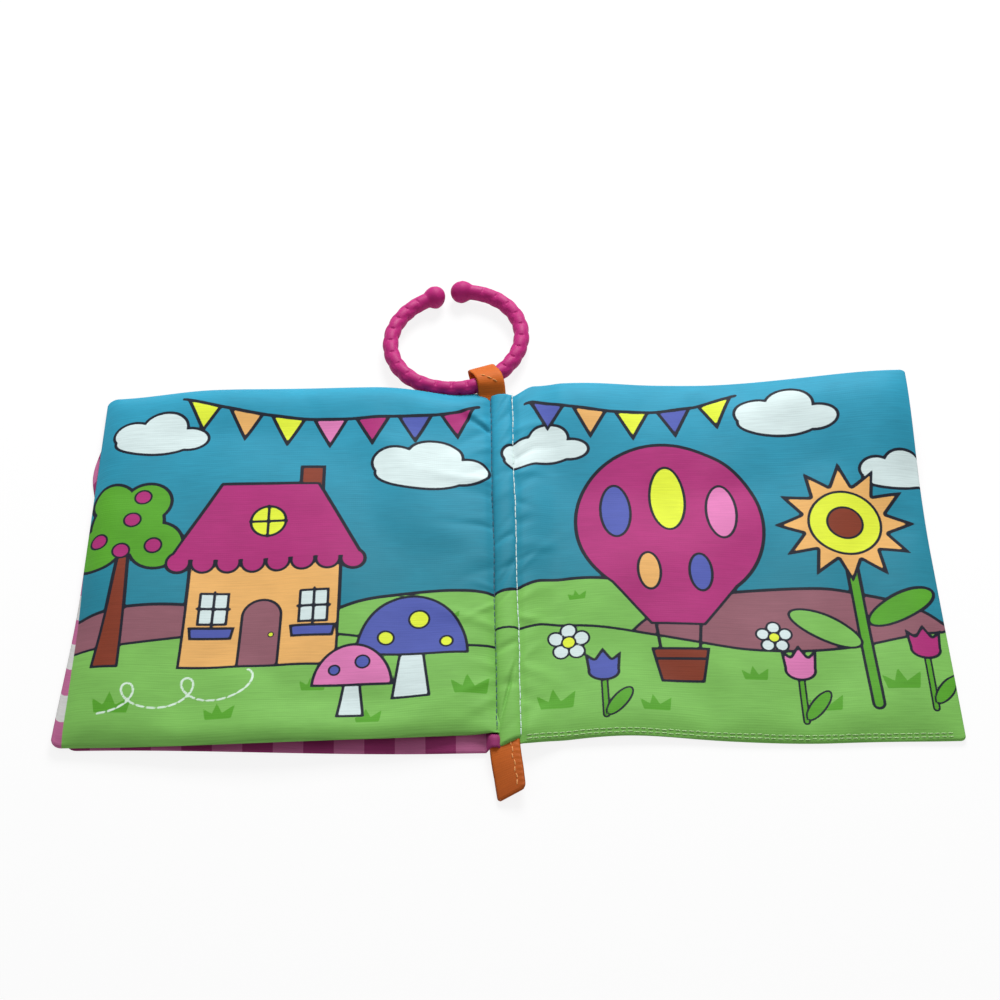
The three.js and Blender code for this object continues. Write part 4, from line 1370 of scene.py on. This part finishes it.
def paper_floor():
    """White paper: it shows white, and keeps a share of its own shading near the book for the shadow."""
    paper, tree = new_material("white paper floor")
    place = add_node(tree, "ShaderNodeTexCoord").outputs["Object"]
    # The grain of the paper is about 3 mm across.
    grain = add_node(tree, "ShaderNodeTexNoise", {"Vector": place, "Scale": 300.0, "Detail": 2.0})
    mix = {SHARE: grain.outputs[0]}
    mix |= {BELOW: opaque(linear("#F6F6F6")), ABOVE: opaque(linear("#F9F9F9"))}
    white = add_node(tree, "ShaderNodeMix", mix, data_type="RGBA").outputs[MIXED]
    shader = add_node(tree, "ShaderNodeBsdfPrincipled", {"Base Color": white, "Roughness": 0.9})
    glow = add_node(tree, "ShaderNodeEmission", {"Color": WHITE, "Strength": 1.0})
    away = add_node(tree, "ShaderNodeVectorMath", {0: place}, operation="LENGTH").outputs["Value"]
    span = {"Value": away, "From Min": 0.25, "From Max": 0.9, "To Min": 0.86, "To Max": 1.0}
    share = add_node(tree, "ShaderNodeMapRange", span).outputs[0]
    seen = add_node(tree, "ShaderNodeMath", {0: shown_ray(tree), 1: share}, operation="MULTIPLY").outputs[0]
    either = {0: seen, 1: shader.outputs["BSDF"], 2: glow.outputs["Emission"]}
    mixed = add_node(tree, "ShaderNodeMixShader", either)
    add_node(tree, "ShaderNodeOutputMaterial", {"Surface": mixed.outputs[0]})
    return paper


class CLOTHBOOK_OT_stage(Operator):
    """Floor, backdrop, lights and the camera"""

    bl_idname = "cloth_book.stage"
    bl_label = "Stage"

    def execute(self, context):
        scene = context.scene
        scene.view_settings.view_transform = "Standard"
        side, low = FLOOR_HALF, FLOOR_LEVEL
        corners = [(-side, -side, low), (side, -side, low), (side, side, low), (-side, side, low)]
        floor = make_piece("paper_floor", corners, [[0, 1, 2, 3]], [paper_floor()])

        world = scene.world or bpy.data.worlds.new("soft studio")
        scene.world = world
        world.use_nodes = True
        sky = world.node_tree
        sky.nodes.clear()
        around = add_node(sky, "ShaderNodeBackground", {"Color": WHITE, "Strength": STUDIO_LIGHT}).outputs[0]
        shown = add_node(sky, "ShaderNodeBackground", {"Color": WHITE, "Strength": 1.0}).outputs[0]
        picked = add_node(sky, "ShaderNodeMixShader", {0: shown_ray(sky), 1: around, 2: shown})
        add_node(sky, "ShaderNodeOutputWorld", {"Surface": picked.outputs[0]})

        for name, place, power, size in LAMPS:
            lamp = bpy.data.lights.new(name, "AREA")
            lamp.energy = power
            lamp.size = size
            holder = bpy.data.objects.new(name, lamp)
            holder.location = place
            aim = -np.array(place) / np.linalg.norm(place)
            holder.rotation_euler = (math.acos(-aim[2]), 0, math.atan2(aim[0], -aim[1]) + math.pi)
            scene.collection.objects.link(holder)

        lens = bpy.data.cameras.new("photo camera")
        lens.lens = CAMERA_LENS
        lens.sensor_width = CAMERA_SENSOR
        lens.clip_start = 0.01
        camera = bpy.data.objects.new("photo camera", lens)
        camera.location = CAMERA_PLACE
        camera.rotation_euler = (math.radians(CAMERA_TILT), 0, math.radians(CAMERA_TURN))
        scene.collection.objects.link(camera)
        scene.camera = camera
        return {"FINISHED"}


STEPS = (
    CLOTHBOOK_OT_front_cover,
    CLOTHBOOK_OT_left_page,
    CLOTHBOOK_OT_right_page,
    CLOTHBOOK_OT_spine,
    CLOTHBOOK_OT_stitching,
    CLOTHBOOK_OT_clip_ring,
    CLOTHBOOK_OT_ribbon_loop,
    CLOTHBOOK_OT_pull_tab,
    CLOTHBOOK_OT_stage,
)


class CLOTHBOOK_PT_sidebar(Panel):
    """Lists the steps in order"""

    bl_idname = "CLOTHBOOK_PT_sidebar"
    bl_label = "Cloth book"
    bl_space_type = "VIEW_3D"
    bl_region_type = "UI"
    bl_category = "Cloth book"

    def draw(self, context):
        for step in STEPS:
            self.layout.operator(step.bl_idname)


CLASSES = (ClothBookSizes, ClothBookColours, *STEPS, CLOTHBOOK_PT_sidebar)


def register():
    """Registers the classes and the settings."""
    for item in CLASSES:
        bpy.utils.register_class(item)
    bpy.types.Scene.cloth_book_sizes = PointerProperty(type=ClothBookSizes)
    bpy.types.Scene.cloth_book_colours = PointerProperty(type=ClothBookColours)


def unregister():
    """Takes the settings and the classes away again."""
    del bpy.types.Scene.cloth_book_colours
    del bpy.types.Scene.cloth_book_sizes
    for item in reversed(CLASSES):
        bpy.utils.unregister_class(item)


def main():
    """Builds every piece in order."""
    register()
    for step in STEPS:
        group, name = step.bl_idname.split(".")
        getattr(getattr(bpy.ops, group), name)()


if __name__ == "__main__":
    main()
